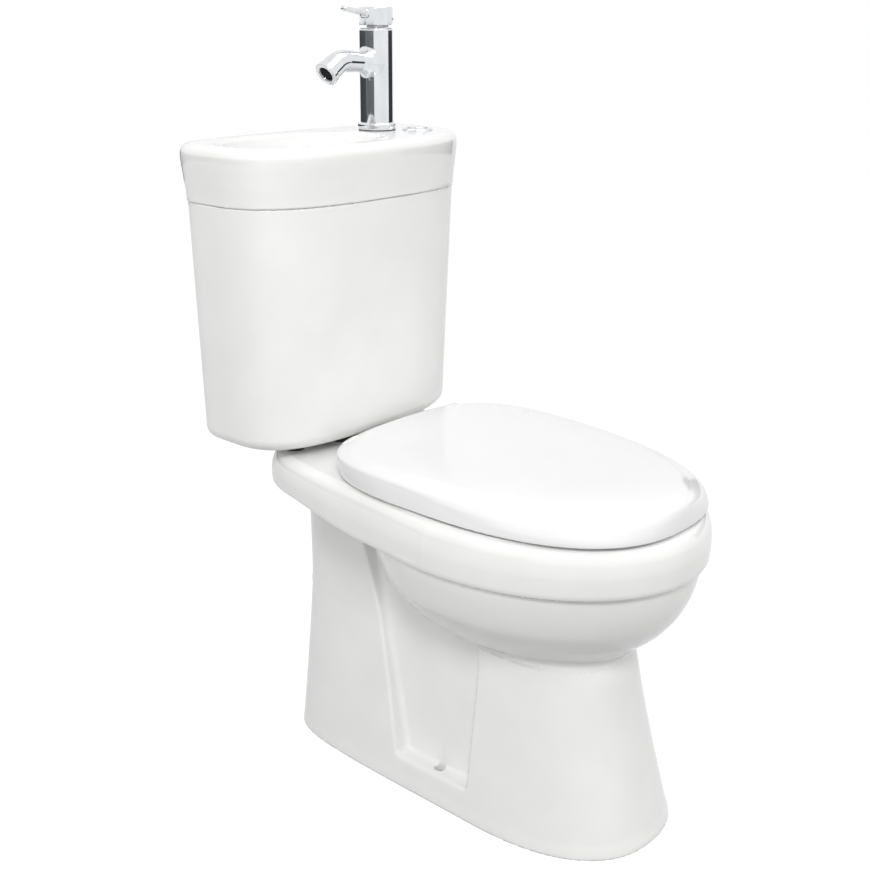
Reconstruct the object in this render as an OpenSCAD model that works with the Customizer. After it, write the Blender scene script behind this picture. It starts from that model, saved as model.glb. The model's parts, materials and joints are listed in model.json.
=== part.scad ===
// Close-coupled toilet with a hand basin cast into the cistern lid.
// Z = 0 is the floor, the front faces -Y and +X is the viewer's right. Depths named *_d are
// measured forward from the wall plane, which the back of the basin lid touches.

/* [Overall] */
// Depth from the wall plane to the front of the rim
overall_d = 632; // [610:1:660]
// Height of the china rim above the floor
rim_z = 400; // [385:1:420]
// Half width of the rim band at its widest
rim_w = 176.5; // [172:0.5:182]
// Height of the rim band
band_h = 57; // [50:1:62]
// Thickness of the pan's china
china_t = 13; // [11:1:15]

/* [Foot] */
// Half width of the foot at the floor
foot_w = 120; // [114:1:126]
// Half width of the column under the deck
column_w = 86; // [82:1:92]
// Depth of the foot's rear wall from the wall plane
foot_back_d = 91; // [84:1:98]
// Depth of the foot's front at the floor
foot_front_d = 607; // [590:1:612]
// Height of the floor bolt ledges
ledge_z = 38; // [32:1:42]
// Across the floor between the two bolt holes
floor_bolt_c = 194; // [186:1:202]
// Depth of the floor bolt holes from the wall plane
floor_bolt_d = 358; // [350:1:366]
// Diameter of a floor bolt hole
floor_hole = 13; // [10:1:15]

/* [Outlet and flush] */
// Height of the outlet spigot's centre
outlet_z = 190; // [180:1:195]
// Outer diameter of the outlet spigot
outlet_od = 102; // [98:1:106]
// Bore of the outlet spigot
outlet_id = 80; // [76:1:86]
// Depth of the spigot's end from the wall plane
outlet_end_d = 82; // [80:1:90]
// Depth of the flush inlet's axis from the wall plane
flush_d = 115; // [112:1:118]
// Bore of the flush inlet in the deck
flush_bore = 62; // [56:1:64]
// Across the two bolts that hold the cistern to the pan
coupling_c = 204; // [203:1:210]

/* [Cistern] */
// Half width of the cistern at its top
cistern_w = 183.5; // [180:0.5:186]
// Half width of the cistern at its bottom
cistern_foot_w = 174.5; // [170:0.5:178]
// Front of the cistern at its top, from the wall plane
cistern_front_d = 181; // [177:1:184]
// Front of the cistern at its bottom, from the wall plane
cistern_foot_front_d = 170; // [167:1:174]
// Height of the cistern's own body
cistern_h = 298; // [290:1:306]
// Gap between the deck and the cistern, filled by the coupling washer
cistern_gap = 11; // [9:1:13]
// Thickness of the cistern's walls
cistern_t = 9; // [8:0.5:10]
// Thickness of the cistern's floor
cistern_floor_t = 12; // [10:1:14]

/* [Basin lid] */
// Half width of the basin lid at its top
lid_w = 189.5; // [188:0.5:192]
// Front of the basin lid, from the wall plane
lid_front_d = 186; // [184:1:189]
// Height of the basin lid
lid_h = 68; // [64:1:72]
// Thickness of the basin lid's china
lid_t = 10; // [9:0.5:11]
// Half length of the basin's opening
basin_a = 107; // [100:1:110]
// Half width of the basin's opening
basin_b = 66; // [60:1:68]
// Depth of the basin
basin_depth = 62; // [56:1:66]
// Centre of the basin, from the middle of the lid
basin_x = -57; // [-60:1:-54]
// Centre of the basin, from the wall plane
basin_d = 95; // [92:1:98]

/* [Tap] */
// Place of the tap to the right of the middle
tap_x = 93.5; // [92:0.5:96]
// Place of the tap, from the wall plane
tap_d = 75; // [72:1:78]
// Diameter of the tap's body
tap_dia = 42.5; // [41:0.5:45]
// Height of the tap's body above the lid, without the handle
tap_body_h = 124; // [115:1:130]
// Reach of the spout from the tap's axis to its elbow
spout_run = 57; // [50:1:62]
// Outer diameter of the spout
spout_od = 24.5; // [23:0.5:26]
// Angle that the spout turns down
spout_dip = 34; // [25:1:45]
// Height of the spout's axis above the lid
spout_h = 82.5; // [78:0.5:88]
// Reach of the lever from the tap's axis
lever_reach = 59.5; // [56:0.5:66]
// Height of the handle's cap
cap_h = 21.5; // [20:0.5:24]

/* [Flush button] */
// Place of the button to the right of the middle
button_x = 126; // [124:1:128]
// Place of the button, from the wall plane
button_d = 116; // [115:1:119]
// Outer diameter of the button's bezel
bezel_dia = 40; // [38:1:42]
// Travel of the buttons
button_travel = 5; // [4:0.5:6]

/* [Seat] */
// Half width of the seat lid
seat_w = 160; // [157:1:163]
// Rear of the seat lid, from the wall plane
seat_back_d = 186.5; // [185:0.5:189]
// Front of the seat lid, from the wall plane
seat_front_d = 619.5; // [616:0.5:622]
// Height of the seat lid's crown above the rim
seat_h = 39; // [37:0.5:41]
// Thickness of the seat lid's shell
seat_t = 5; // [4:0.5:6]
// Gap between the rim and the seat lid's edge
seat_gap = 2.5; // [2:0.5:4]
// Thickness of the seat ring
ring_t = 17; // [15:1:18]
// Height of the hinge axis above the rim
hinge_h = 19; // [18.5:0.5:20]
// Hinge axis in front of the seat lid's rear edge
hinge_in = 17.5; // [16:0.5:18]
// Across the two hinge posts
hinge_c = 155; // [150:1:165]
// Diameter of the hinge pins
pin_dia = 6; // [5:0.5:7]

/* [Fits] */
// Radial clearance of a running fit
run_fit = 0.05; // [0.02:0.01:0.1]
// Clearance between pieces that only lie side by side
air = 0.3; // [0.2:0.05:0.5]

/* [Hidden] */

china = "white";
chrome = "silver";
soft_white = "whitesmoke";
rubber = "dimgray";
grey_plastic = "lightgray";

pan_n = 48;             // points round each ring of the pan
shell_n = 52;           // points round each ring of the cistern, lid and seat
wall_y = overall_d / 2; // the wall plane
band_z = rim_z - band_h;
cistern_z = rim_z + cistern_gap;
cistern_top_z = cistern_z + cistern_h;
lid_top_z = cistern_top_z + lid_h;
through = 60;           // extra length of a cutter that goes right through

function y_at(d) = wall_y - d;

// ---- outlines and skins -------------------------------------------------------------------

function spow(v, e) = v < 0 ? -pow(-v, e) : pow(v, e);

// A closed egg outline: half width w, widest at depth mid, each end with its own squareness,
// and a taper that draws the back end in.
function egg(w, back, mid, front, nb, nf, taper = 0, n = pan_n) =
    [for (i = [0:n - 1])
        let (c = cos(360 * i / n), s = sin(360 * i / n), e = s >= 0 ? 2 / nb : 2 / nf,
             t = pow(abs(s), e), narrow = s >= 0 ? 1 - taper * t : 1)
        [w * narrow * spow(c, e), s >= 0 ? y_at(mid - (mid - back) * t) : y_at(mid + (front - mid) * t)]];

function ring(points, z) = [for (p = points) [p[0], p[1], z]];

// A closed solid through rings of equal length, listed from the lowest to the highest.
module skin(rings) {
    n = len(rings[0]);
    m = len(rings);
    sides = [for (k = [0:m - 2], i = [0:n - 1])
        let (a = k * n + i, b = k * n + (i + 1) % n, c = b + n, d = a + n)
        each [[a, d, c], [a, c, b]]];
    bottom = [for (i = [1:n - 2]) [0, i, i + 1]];
    top = [for (i = [1:n - 2]) (m - 1) * n * [1, 1, 1] + [0, i + 1, i]];
    polyhedron(points = [for (r = rings) each r], faces = concat(bottom, sides, top));
}

// A round pipe along a path in the plane X = 0; each station is [depth, height, radius].
module pipe(path, n = 20) {
    m = len(path);
    function dir(k) =
        let (a = path[max(k - 1, 0)], b = path[min(k + 1, m - 1)], v = [a[0] - b[0], b[1] - a[1]])
        v / norm(v);
    rings = [for (k = [0:m - 1])
        let (p = path[k], t = dir(k))
        [for (i = [0:n - 1])
            let (a = 360 * i / n)
            [p[2] * cos(a), y_at(p[0]) - p[2] * sin(a) * t[1], p[1] + p[2] * sin(a) * t[0]]]];
    skin([for (r = rings) [for (i = [n - 1:-1:0]) r[i]]]);
}

module both_sides(x) {
    translate([x, 0, 0])
        children();
    translate([-x, 0, 0])
        children();
}

module tube(r_out, r_in, h) {
    difference() {
        cylinder(r = r_out, h = h, $fn = 64);
        translate([0, 0, -1])
            cylinder(r = r_in, h = h + 2, $fn = 64);
    }
}

// ---- pan ----------------------------------------------------------------------------------

rim_mid_d = 399;         // where the rim is widest
deck_back_d = 69;
deck_taper = 0.19;       // how much narrower the deck is at its back
deck_lift = 12;          // how far the band's lower edge rises towards the back
lift_from_d = 290;
lift_to_d = 150;
band_edge = 15;          // inset of the rim's rounded top edge

// Stations of the rim band and deck: height over the band's bottom, inset from the widest line.
band_stations = [[0, 5], [2, 2], [7, 0.5], [24, 0], [40, 2], [49, 5.5], [54, 9.5], [band_h, band_edge]];

function deck_rise(y, h) =
    let (k = (y - y_at(lift_from_d)) / (lift_from_d - lift_to_d))
    deck_lift * min(max(k, 0), 1) * (1 - h / band_h);

module band_and_deck() {
    skin([for (s = band_stations)
        [for (q = egg(rim_w - s[1], deck_back_d + s[1], rim_mid_d, overall_d - s[1], 6, 2.05, deck_taper))
            [q[0], q[1], band_z + s[0] + deck_rise(q[1], s[0])]]]);
}

// The bowl's outside: drop under the band, share of the band's width, depth of its back, and
// how far its front stays behind the rim's front.
hull_stations = [[125, 0.35, 300, 112], [121, 0.49, 272, 86], [114, 0.567, 262, 76],
                 [99, 0.678, 251, 60], [78, 0.795, 242, 38], [52, 0.912, 232, 20.5],
                 [26, 0.965, 221, 11], [12, 0.985, 214, 8.5], [-4, 1, 200, 7]];

module bowl_outside() {
    hull_w = rim_w - 5.5;
    skin([for (s = hull_stations)
        ring(egg(hull_w * s[1], s[2], rim_mid_d, overall_d - s[3], 2.1, 1.98), band_z - s[0])]);
}

// The foot flares from the column under the bowl to its outline on the floor.
foot_mid_d = 426;
flare_z = 210;           // height at which the flare ends
front_flare = 52;        // how far the flare draws the front in
front_tuck = 60;         // how far the front leans in above the flare

function foot_ring(z, inset = 0) =
    let (k = min(max(z / flare_z, 0), 1), up = max(z - flare_z, 0) / (band_z - flare_z),
         flare = 1 - pow(1 - k, 1.15),
         w = foot_w + (column_w - foot_w) * flare + 4 * pow(up, 3))
    ring(egg(w - inset, foot_back_d - 2 * k + inset, foot_mid_d,
             foot_front_d - front_flare * flare - front_tuck * up - inset, 6, 2.4), z);

module foot(inset = 0, low = 0, high = band_z + 18, steps = 9) {
    skin([for (k = [0:steps]) foot_ring(low + (high - low) * k / steps, inset)]);
}

// The pocket in each side that shows the bowl's underside and holds a bolt ledge: its edge on
// the foot's side as [depth, height], and the half width of its back wall.
recess_top_z = band_z + 2;
recess_low = [floor_bolt_d - 64, floor_bolt_d + 59];
recess_high = [floor_bolt_d - 174, floor_bolt_d + 50];
recess_low_w = foot_w - 28;
recess_high_w = 58;
rear_slant = 20;         // how far the pocket's rear wall slants in
front_slant = 6;         // and its front wall

module side_recess(grow = 0) {
    module corner(x, d, z)
        translate([x, y_at(d), z])
            cube(0.01);
    outer_w = foot_w + through;
    low_z = ledge_z - grow;
    for (s = [-1, 1])
        hull() {
            corner(s * outer_w, recess_low[0] - grow, low_z);
            corner(s * outer_w, recess_low[1] + grow, low_z);
            corner(s * outer_w, recess_high[0] - grow, recess_top_z);
            corner(s * outer_w, recess_high[1] + grow, recess_top_z);
            corner(s * (recess_low_w - grow), recess_low[0] + front_slant - grow, low_z);
            corner(s * (recess_low_w - grow), recess_low[1] - front_slant + grow, low_z);
            corner(s * (recess_high_w - grow), recess_high[0] + rear_slant - grow, recess_top_z);
            corner(s * (recess_high_w - grow), recess_high[1] - front_slant + grow, recess_top_z);
        }
}

// The bowl's inside below the rim: height, half width, depth of its back, and how far its front
// stays behind the rim's front. Below it, the round sump leads to the trap.
sump_d = 335;
bowl_top_z = rim_z - 44;
sump_stations = [[100, 32], [124, 41], [190, 46], [bowl_top_z - 110, 50]];
bowl_stations = [[bowl_top_z - 118, 60, 272, 222], [bowl_top_z - 106, 86, 262, 150],
                 [bowl_top_z - 94, 98, 252, 118], [bowl_top_z - 76, 120, 242, 84],
                 [bowl_top_z - 52, 138, 230, 57], [bowl_top_z - 26, 150, 220, 38],
                 [bowl_top_z, 158, 212, 26]];

module sump(grow = 0) {
    skin([for (s = sump_stations)
        ring(egg(s[1] + grow, sump_d - s[1] - grow, sump_d, sump_d + s[1] + grow, 2, 2, 0, 24), s[0])]);
}

module bowl_inside() {
    sump();
    skin([for (s = bowl_stations)
        let (front = overall_d - s[3])
        ring(egg(s[1], s[2], (s[2] + front) / 2, front, 2.2, 2.05), s[0])]);
}

// The opening inside the rim, with a rounded top edge.
opening_w = 116;
opening_back_d = 268;
opening_gap = 55;        // from the rim's front to the opening
opening_mid_d = rim_mid_d + 20;
opening_stations = [[bowl_top_z - 2, 2], [bowl_top_z + 3, 2], [rim_z - 12, 0], [rim_z - 5, 2],
                    [rim_z, 7], [rim_z + 1, 7]];

module rim_opening() {
    skin([for (s = opening_stations)
        ring(egg(opening_w + s[1], opening_back_d - s[1], opening_mid_d,
                 overall_d - opening_gap + s[1], 2.4, 2.1), s[0])]);
}

// The flush channel inside the box rim, open to the bowl underneath, and the duct that feeds it.
channel_z = rim_z - 16;
duct_w = flush_bore - 8;
duct_h = 22;

module slab(w, back, mid, front, low, high) {
    translate([0, 0, low])
        linear_extrude(height = high - low)
            polygon(egg(w, back, mid, front, 2.3, 2.05, 0, 36));
}

module rim_channel() {
    difference() {
        slab(rim_w - 18, 235, rim_mid_d, overall_d - 24, bowl_top_z - 4, channel_z);
        slab(opening_w + 12, opening_back_d - 14, opening_mid_d, overall_d - opening_gap + 12,
             bowl_top_z - 6, channel_z + 2);
    }
    translate([-duct_w / 2, y_at(250), channel_z - duct_h])
        cube([duct_w, y_at(flush_d) - y_at(250), duct_h]);
}

// The trap: down from the sump, up over the weir and back to the outlet, as [depth, height, radius].
weir_z = outlet_z + 15;
trap_r = 28;
trap_t = china_t - 3;
trap_end_d = 118;
trap_path = [[sump_d, 130, trap_r + 4], [sump_d - 2, 112, trap_r + 2], [sump_d - 14, 97, trap_r],
             [sump_d - 34, 92, trap_r], [sump_d - 54, 102, trap_r], [sump_d - 74, 128, trap_r],
             [sump_d - 92, 160, trap_r], [sump_d - 110, 188, trap_r],
             [sump_d - 132, weir_z, trap_r], [sump_d - 160, weir_z + 1, trap_r + 2],
             [sump_d - 190, outlet_z + 8, trap_r + 6], [trap_end_d + 5, outlet_z, outlet_id / 2 - 2],
             [trap_end_d, outlet_z, outlet_id / 2 - 2]];

module trap(grow = 0) {
    pipe([for (p = trap_path) [p[0], p[1], p[2] + grow]]);
}

// The hollow under the pan, with the trap and the bolt ledges standing in it.
hollow_z = 178;

module under_hollow() {
    difference() {
        foot(inset = china_t, low = -2, high = hollow_z, steps = 5);
        side_recess(grow = china_t);
    }
}

// The open back of the column, in which the outlet stands.
access_w = 58;
access_low_z = outlet_z - outlet_od / 2 - 16;
access_in_d = flush_d + 62;
nut_seat_z = band_z + deck_lift + 1;
spot_face_r = 13;

module rear_access() {
    behind = y_at(foot_back_d - through);
    translate([-access_w, y_at(access_in_d), access_low_z])
        cube([2 * access_w, behind - y_at(access_in_d), band_z - access_low_z]);
}

// resize() keeps the size as it is: it holds the lofts together as one casting.
module pan_china() {
    resize([0, 0, rim_z])
        difference() {
            union() {
                difference() {
                    union() {
                        difference() {
                            foot();
                            side_recess();
                        }
                        bowl_outside();
                        band_and_deck();
                    }
                    under_hollow();
                    rear_access();
                }
                sump(grow = trap_t);
                trap(grow = trap_t);
            }
            bowl_inside();
            rim_opening();
            rim_channel();
            trap();
        }
}

spigot_root_d = trap_end_d + 10;
stud_hole_r = 8;
stud_hole_h = 46;
coupling_hole_r = 6;
hinge_d = seat_back_d + hinge_in;
stud_d = hinge_d + 6;    // the posts' studs stand a little in front of the hinge axis

module pan() {
    color(china)
        difference() {
            union() {
                pan_china();
                translate([0, y_at(spigot_root_d), outlet_z])
                    rotate([-90, 0, 0])
                        cylinder(d = outlet_od, h = spigot_root_d - outlet_end_d, $fn = 64);
            }
            translate([0, y_at(spigot_root_d), outlet_z])
                rotate([-90, 0, 0])
                    cylinder(d = outlet_id, h = spigot_root_d, $fn = 64);
            translate([0, y_at(flush_d), channel_z - duct_h + 2])
                cylinder(d = flush_bore, h = through, $fn = 64);
            both_sides(coupling_c / 2)
                translate([0, y_at(flush_d), nut_seat_z - 8]) {
                    cylinder(r = spot_face_r, h = 8, $fn = 48);
                    cylinder(r = coupling_hole_r, h = through, $fn = 32);
                }
            both_sides(hinge_c / 2)
                translate([0, y_at(stud_d), rim_z - stud_hole_h])
                    cylinder(r = stud_hole_r, h = through, $fn = 32);
            both_sides(floor_bolt_c / 2)
                translate([0, y_at(floor_bolt_d), -1])
                    cylinder(d = floor_hole, h = ledge_z + 2, $fn = 32);
        }
}

// ---- cistern ------------------------------------------------------------------------------

cistern_back_d = 4;
cistern_mid_d = 73;
cistern_edge = 16;       // radius of the bottom edge
fill_x = -85;           // the fill valve, behind the deck
fill_d = 48;
shank_r = 10.8;
flush_shank_r = 25;

function cistern_ring(h, inset) =
    let (k = h / cistern_h)
    ring(egg(cistern_foot_w + (cistern_w - cistern_foot_w) * k - inset, cistern_back_d + inset,
             cistern_mid_d, cistern_foot_front_d + (cistern_front_d - cistern_foot_front_d) * k - inset,
             5, 2.875, 0, shell_n), h);

// A quarter round at an edge: [height, inset] over radius r.
function quarter(r, step) = [for (a = [0:step:90]) [r * (1 - cos(a)), r * (1 - sin(a))]];

module cistern() {
    color(china)
        translate([0, 0, cistern_z])
            difference() {
                resize([0, 0, cistern_h])
                    difference() {
                        skin(concat([for (q = quarter(cistern_edge, 22.5)) cistern_ring(q[0], q[1])],
                                    [cistern_ring(cistern_h - 1.5, 0), cistern_ring(cistern_h, 1.5)]));
                        skin(concat([for (q = quarter(cistern_edge - 4, 45))
                                        cistern_ring(cistern_floor_t + q[0], cistern_t + q[1])],
                                    [cistern_ring(cistern_h + 1, cistern_t)]));
                    }
                translate([0, y_at(flush_d), -1])
                    cylinder(r = flush_shank_r + air, h = through, $fn = 64);
                both_sides(coupling_c / 2)
                    translate([0, y_at(flush_d), -1])
                        cylinder(r = coupling_hole_r, h = through, $fn = 32);
                translate([fill_x, y_at(fill_d), -1])
                    cylinder(r = shank_r + 2 * air, h = through, $fn = 32);
            }
}

// ---- joint of cistern and pan -------------------------------------------------------------

cistern_floor_z = cistern_z + cistern_floor_t;
backnut_r = 36;
coupling_r = 55;
bolt_r = 4;
seal_h = 3;
plate_h = 1.5;
bolt_head_h = 5.5;
wing_nut_h = 10;

module coupling_washer() {
    color(rubber)
        translate([0, y_at(flush_d), rim_z])
            tube(coupling_r, backnut_r + air, cistern_gap);
}

// Everything on the two cistern bolts stands on their axes.
module on_cistern_bolts(z) {
    both_sides(coupling_c / 2)
        translate([0, y_at(flush_d), z])
            children();
}

module cistern_bolts() {
    low_z = nut_seat_z - plate_h - wing_nut_h - 4;
    head_z = cistern_floor_z + seal_h + plate_h;
    color("gold")
        on_cistern_bolts(0) {
            translate([0, 0, low_z])
                cylinder(r = bolt_r, h = head_z - low_z, $fn = 32);
            translate([0, 0, head_z])
                cylinder(r = 7.5, h = bolt_head_h, $fn = 6);
        }
}

module cistern_seals() {
    color(rubber)
        on_cistern_bolts(cistern_floor_z)
            tube(14, bolt_r + air, seal_h);
}

module cistern_plates() {
    color("gold") {
        on_cistern_bolts(cistern_floor_z + seal_h)
            tube(11.5, bolt_r + air, plate_h);
        on_cistern_bolts(nut_seat_z - plate_h)
            tube(11.5, bolt_r + air, plate_h);
    }
}

module cistern_spacers() {
    color(rubber)
        on_cistern_bolts(rim_z)
            tube(12, bolt_r + air, cistern_gap);
}

module cistern_wing_nuts() {
    color("gold")
        on_cistern_bolts(nut_seat_z - plate_h - wing_nut_h)
            difference() {
                union() {
                    cylinder(r = 7, h = wing_nut_h, $fn = 32);
                    translate([-1.5, -15, 0])
                        cube([3, 30, wing_nut_h - 2]);
                }
                translate([0, 0, -1])
                    cylinder(r = bolt_r + run_fit, h = wing_nut_h + 2, $fn = 32);
            }
}

// ---- basin lid ----------------------------------------------------------------------------

lip_h = 7;               // locating lip that hangs inside the cistern
lip_t = 5;
lid_edge = 13;           // radius of the top edge
lid_foot_w = cistern_w + 1;
lid_foot_front_d = cistern_front_d + 1;
basin_wall = 9;
tap_hole_r = 17.5;
button_hole_r = 16;
waste_hole_r = 21.5;
waste_r = 31.5;
basin_floor_z = lid_top_z - basin_depth;

function lid_ring(h, inset) =
    let (k = min(h / (lid_h - lid_edge), 1))
    ring(egg(lid_foot_w + (lid_w - lid_foot_w) * k - inset, 3 * (1 - k) + inset, cistern_mid_d,
             lid_foot_front_d + (lid_front_d - lid_foot_front_d) * k - inset, 5, 2.875, 0, shell_n), h);

// The basin's wall, as drop below the top and how far it has drawn in there.
basin_stations = [[-1, -8], [0, -8], [2.5, -2.5], [8, 0], [basin_depth * 0.45, 4],
                  [basin_depth - 20, 9], [basin_depth - 8, 16], [basin_depth - 2, 24], [basin_depth, 31]];

function basin_ring(drop, inset) =
    let (a = basin_a - inset, b = basin_b - inset)
    [for (i = [0:shell_n - 1])
        let (t = 360 * i / shell_n)
        [basin_x + a * spow(cos(t), 0.8), y_at(basin_d) + b * spow(sin(t), 0.8), lid_h - drop]];

module basin(grow = 0) {
    flip = [for (k = [len(basin_stations) - 1:-1:0]) basin_stations[k]];
    skin([for (s = flip) basin_ring(s[0] + grow, s[1] - grow)]);
}

module basin_lid() {
    color(china)
        translate([0, 0, cistern_top_z])
            difference() {
                resize([0, 0, lid_h + lip_h])
                    difference() {
                        union() {
                            difference() {
                                skin(concat([lid_ring(0, 1.5), lid_ring(2, 0)],
                                            [for (a = [0:22.5:90]) lid_ring(lid_h - lid_edge * (1 - sin(a)),
                                                                           lid_edge * (1 - cos(a)))]));
                                skin([lid_ring(-1, lip_inset), lid_ring(3, lip_inset),
                                      lid_ring(3 + lip_inset - lid_t, lid_t),
                                      lid_ring(lid_h - lid_t - 6, lid_t),
                                      lid_ring(lid_h - lid_t, lid_t + 8)]);
                            }
                            difference() {
                                skin([for (h = [-lip_h, lip_root]) cistern_lip(h, 0)]);
                                skin([for (h = [-lip_h - 1, 4]) cistern_lip(h, lip_t)]);
                            }
                            basin(basin_wall);
                        }
                        basin();
                    }
                translate([tap_x, y_at(tap_d), lid_h - through / 2])
                    cylinder(r = tap_hole_r, h = through, $fn = 48);
                translate([button_x, y_at(button_d), lid_h - through / 2])
                    cylinder(r = button_hole_r, h = through, $fn = 48);
                translate([basin_x, y_at(basin_d), lid_h - basin_depth - through / 2])
                    cylinder(r = waste_hole_r, h = through, $fn = 48);
            }
}

// The lip follows the cistern's inner wall with play all round.
lip_play = 2.5;

lip_root = 1.5;
lip_inset = cistern_t + lip_play + lip_t;

function cistern_lip(h, inset) =
    [for (p = cistern_ring(cistern_h, cistern_t + lip_play + inset)) [p[0], p[1], h]];

// ---- basin waste --------------------------------------------------------------------------

waste_bore_r = 16;
waste_tail_r = 20.5;
waste_tail_h = 38;       // tail below the basin's floor
waste_seal_h = 1.5;
waste_nut_h = 10;
basin_under_z = basin_floor_z - basin_wall;

module at_waste(z) {
    translate([basin_x, y_at(basin_d), z])
        children();
}

module waste_flange() {
    color(chrome)
        at_waste(basin_floor_z + waste_seal_h)
            difference() {
                union() {
                    rotate_extrude($fn = 64)
                        polygon([[0, 0], [waste_r, 0], [waste_r, 0.8], [waste_r - 3, 2.6],
                                 [waste_bore_r + 4, 1.8], [0, 1.2]]);
                    translate([0, 0, -waste_tail_h])
                        cylinder(r = waste_tail_r, h = waste_tail_h, $fn = 64);
                }
                translate([0, 0, -waste_tail_h - 1])
                    cylinder(r = waste_bore_r, h = waste_tail_h - 1, $fn = 64);
                for (a = [0:60:300])
                    rotate([0, 0, a])
                        translate([5, -1.5, -through / 2])
                            cube([waste_bore_r - 7, 3, through]);
                translate([0, 0, -through / 2])
                    cylinder(r = 2.5, h = through, $fn = 24);
            }
}

module waste_seals() {
    color(rubber) {
        at_waste(basin_floor_z)
            tube(waste_r - 1.5, waste_tail_r + air, waste_seal_h);
        at_waste(basin_under_z - 2 * waste_seal_h)
            tube(waste_r - 3, waste_tail_r + air, 2 * waste_seal_h);
    }
}

module waste_nut() {
    color("gold")
        at_waste(basin_under_z - 2 * waste_seal_h - waste_nut_h)
            difference() {
                cylinder(r = 29, h = waste_nut_h, $fn = 8);
                translate([0, 0, -1])
                    cylinder(r = waste_tail_r + run_fit, h = waste_nut_h + 2, $fn = 64);
            }
}

// ---- tap ----------------------------------------------------------------------------------

tap_r = tap_dia / 2;
gasket_h = 1;
base_ring_h = 8.6;
base_ring_t = 3.4;
tap_top_z = lid_top_z + tap_body_h;
tap_shank_r = 16;
tap_shank_h = 36;        // shank below the lid's top
port_r = 4.5;            // the two inlets in the shank's end
port_c = 14;
spout_rise = 4;          // degrees
spout_bend_r = 26;
spout_end_r = 14;
elbow_r = spout_end_r - 0.3;
cone_drop = 4;           // what the spout's root cone narrows by
root_in = 7;             // how deep the cone starts inside the body
root_cone_h = 11;
neck_h = 8;
spout_end_h = 18;
end_lap = 1.5;           // how far the end piece laps over the bend
spout_root_r = 13.8;
cartridge_r = 17.3;
cartridge_h = 30;        // depth of the cartridge's seat
cartridge_neck_r = 13.5;
nut_seat_h = 10;
trim_h = 1.2;            // thickness of the trim ring on the body's top
handle_gap = 3.4;
stem_r = 4;

module at_tap(z) {
    translate([tap_x, y_at(tap_d), z])
        children();
}

// Local +Z runs out along the spout.
module along_spout() {
    at_tap(lid_top_z + spout_h)
        rotate([0, spout_rise - 90, 0])
            children();
}

module past_bend() {
    turn = spout_rise + spout_dip;
    along_spout()
        translate([-spout_bend_r, 0, spout_run])
            rotate([0, -turn, 0])
                translate([spout_bend_r, 0, 0])
                    children();
}

module tap_spout() {
    root = tap_r - root_in;
    swell = root + root_cone_h + neck_h;
    along_spout() {
        translate([0, 0, root])
            cylinder(r1 = spout_root_r + cone_drop, r2 = spout_root_r, h = root_cone_h, $fn = 64);
        translate([0, 0, root + root_cone_h])
            cylinder(r1 = spout_root_r, r2 = spout_od / 2, h = neck_h, $fn = 64);
        translate([0, 0, swell])
            cylinder(r1 = spout_od / 2, r2 = elbow_r, h = spout_run - swell, $fn = 64);
        translate([-spout_bend_r, 0, spout_run])
            rotate([90, 0, 0])
                rotate_extrude(angle = spout_rise + spout_dip, $fn = 96)
                    translate([spout_bend_r, 0])
                        circle(r = elbow_r, $fn = 64);
    }
    past_bend()
        translate([0, 0, -end_lap])
            cylinder(r = spout_end_r, h = spout_end_h + end_lap, $fn = 64);
}

module tap_body() {
    low_z = lid_top_z + gasket_h;
    color(chrome)
        difference() {
            union() {
                at_tap(0)
                    rotate_extrude($fn = 96)
                        polygon([[0, lid_top_z - tap_shank_h], [tap_shank_r, lid_top_z - tap_shank_h],
                                 [tap_shank_r, low_z], [tap_r, low_z], [tap_r, tap_top_z - 1],
                                 [tap_r - 1, tap_top_z], [0, tap_top_z]]);
                tap_spout();
            }
            at_tap(tap_top_z - nut_seat_h)
                cylinder(r = tap_r - 2.5, h = through, $fn = 64);
            at_tap(tap_top_z - cartridge_h)
                cylinder(r = cartridge_r + run_fit, h = through, $fn = 64);
            at_tap(lid_top_z - tap_shank_h - 1)
                both_sides(port_c / 2)
                    cylinder(r = port_r, h = 16, $fn = 32);
            past_bend()
                translate([0, 0, spout_end_h - 14])
                    cylinder(r = 10, h = through, $fn = 64);
        }
}

module tap_gasket() {
    color(rubber)
        at_tap(lid_top_z)
            tube(tap_r + base_ring_t - 1, tap_shank_r + air, gasket_h);
}

module tap_base_ring() {
    color(chrome)
        at_tap(lid_top_z + gasket_h)
            rotate_extrude($fn = 96)
                polygon([[tap_r + run_fit, 0], [tap_r + base_ring_t, 0],
                         [tap_r + base_ring_t, base_ring_h - 2], [tap_r + base_ring_t - 2, base_ring_h],
                         [tap_r + run_fit, base_ring_h]]);
}

module outlet_ring() {
    color(chrome)
        past_bend()
            difference() {
                translate([0, 0, spout_end_h - 6])
                    cylinder(r = spout_end_r + 1.5, h = 7.5, $fn = 64);
                translate([0, 0, spout_end_h - 7])
                    cylinder(r = spout_end_r + run_fit, h = 7, $fn = 64);
                cylinder(r = 10.2, h = through, $fn = 64);
            }
}

module aerator() {
    color("dimgray")
        past_bend()
            translate([0, 0, spout_end_h - 13])
                difference() {
                    cylinder(r = 9.9, h = 12.5, $fn = 64);
                    for (x = [-6:3:6])
                        translate([x - 0.6, -6, 11])
                            cube([1.2, 12, 2]);
                }
}

module cartridge() {
    color("gainsboro")
        at_tap(tap_top_z - cartridge_h)
            difference() {
                union() {
                    cylinder(r = cartridge_r, h = cartridge_h - nut_seat_h, $fn = 64);
                    cylinder(r = cartridge_neck_r, h = cartridge_h + 1, $fn = 64);
                }
                translate([0, 0, cartridge_h - 16])
                    cylinder(r = stem_r + run_fit, h = through, $fn = 32);
            }
}

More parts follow.
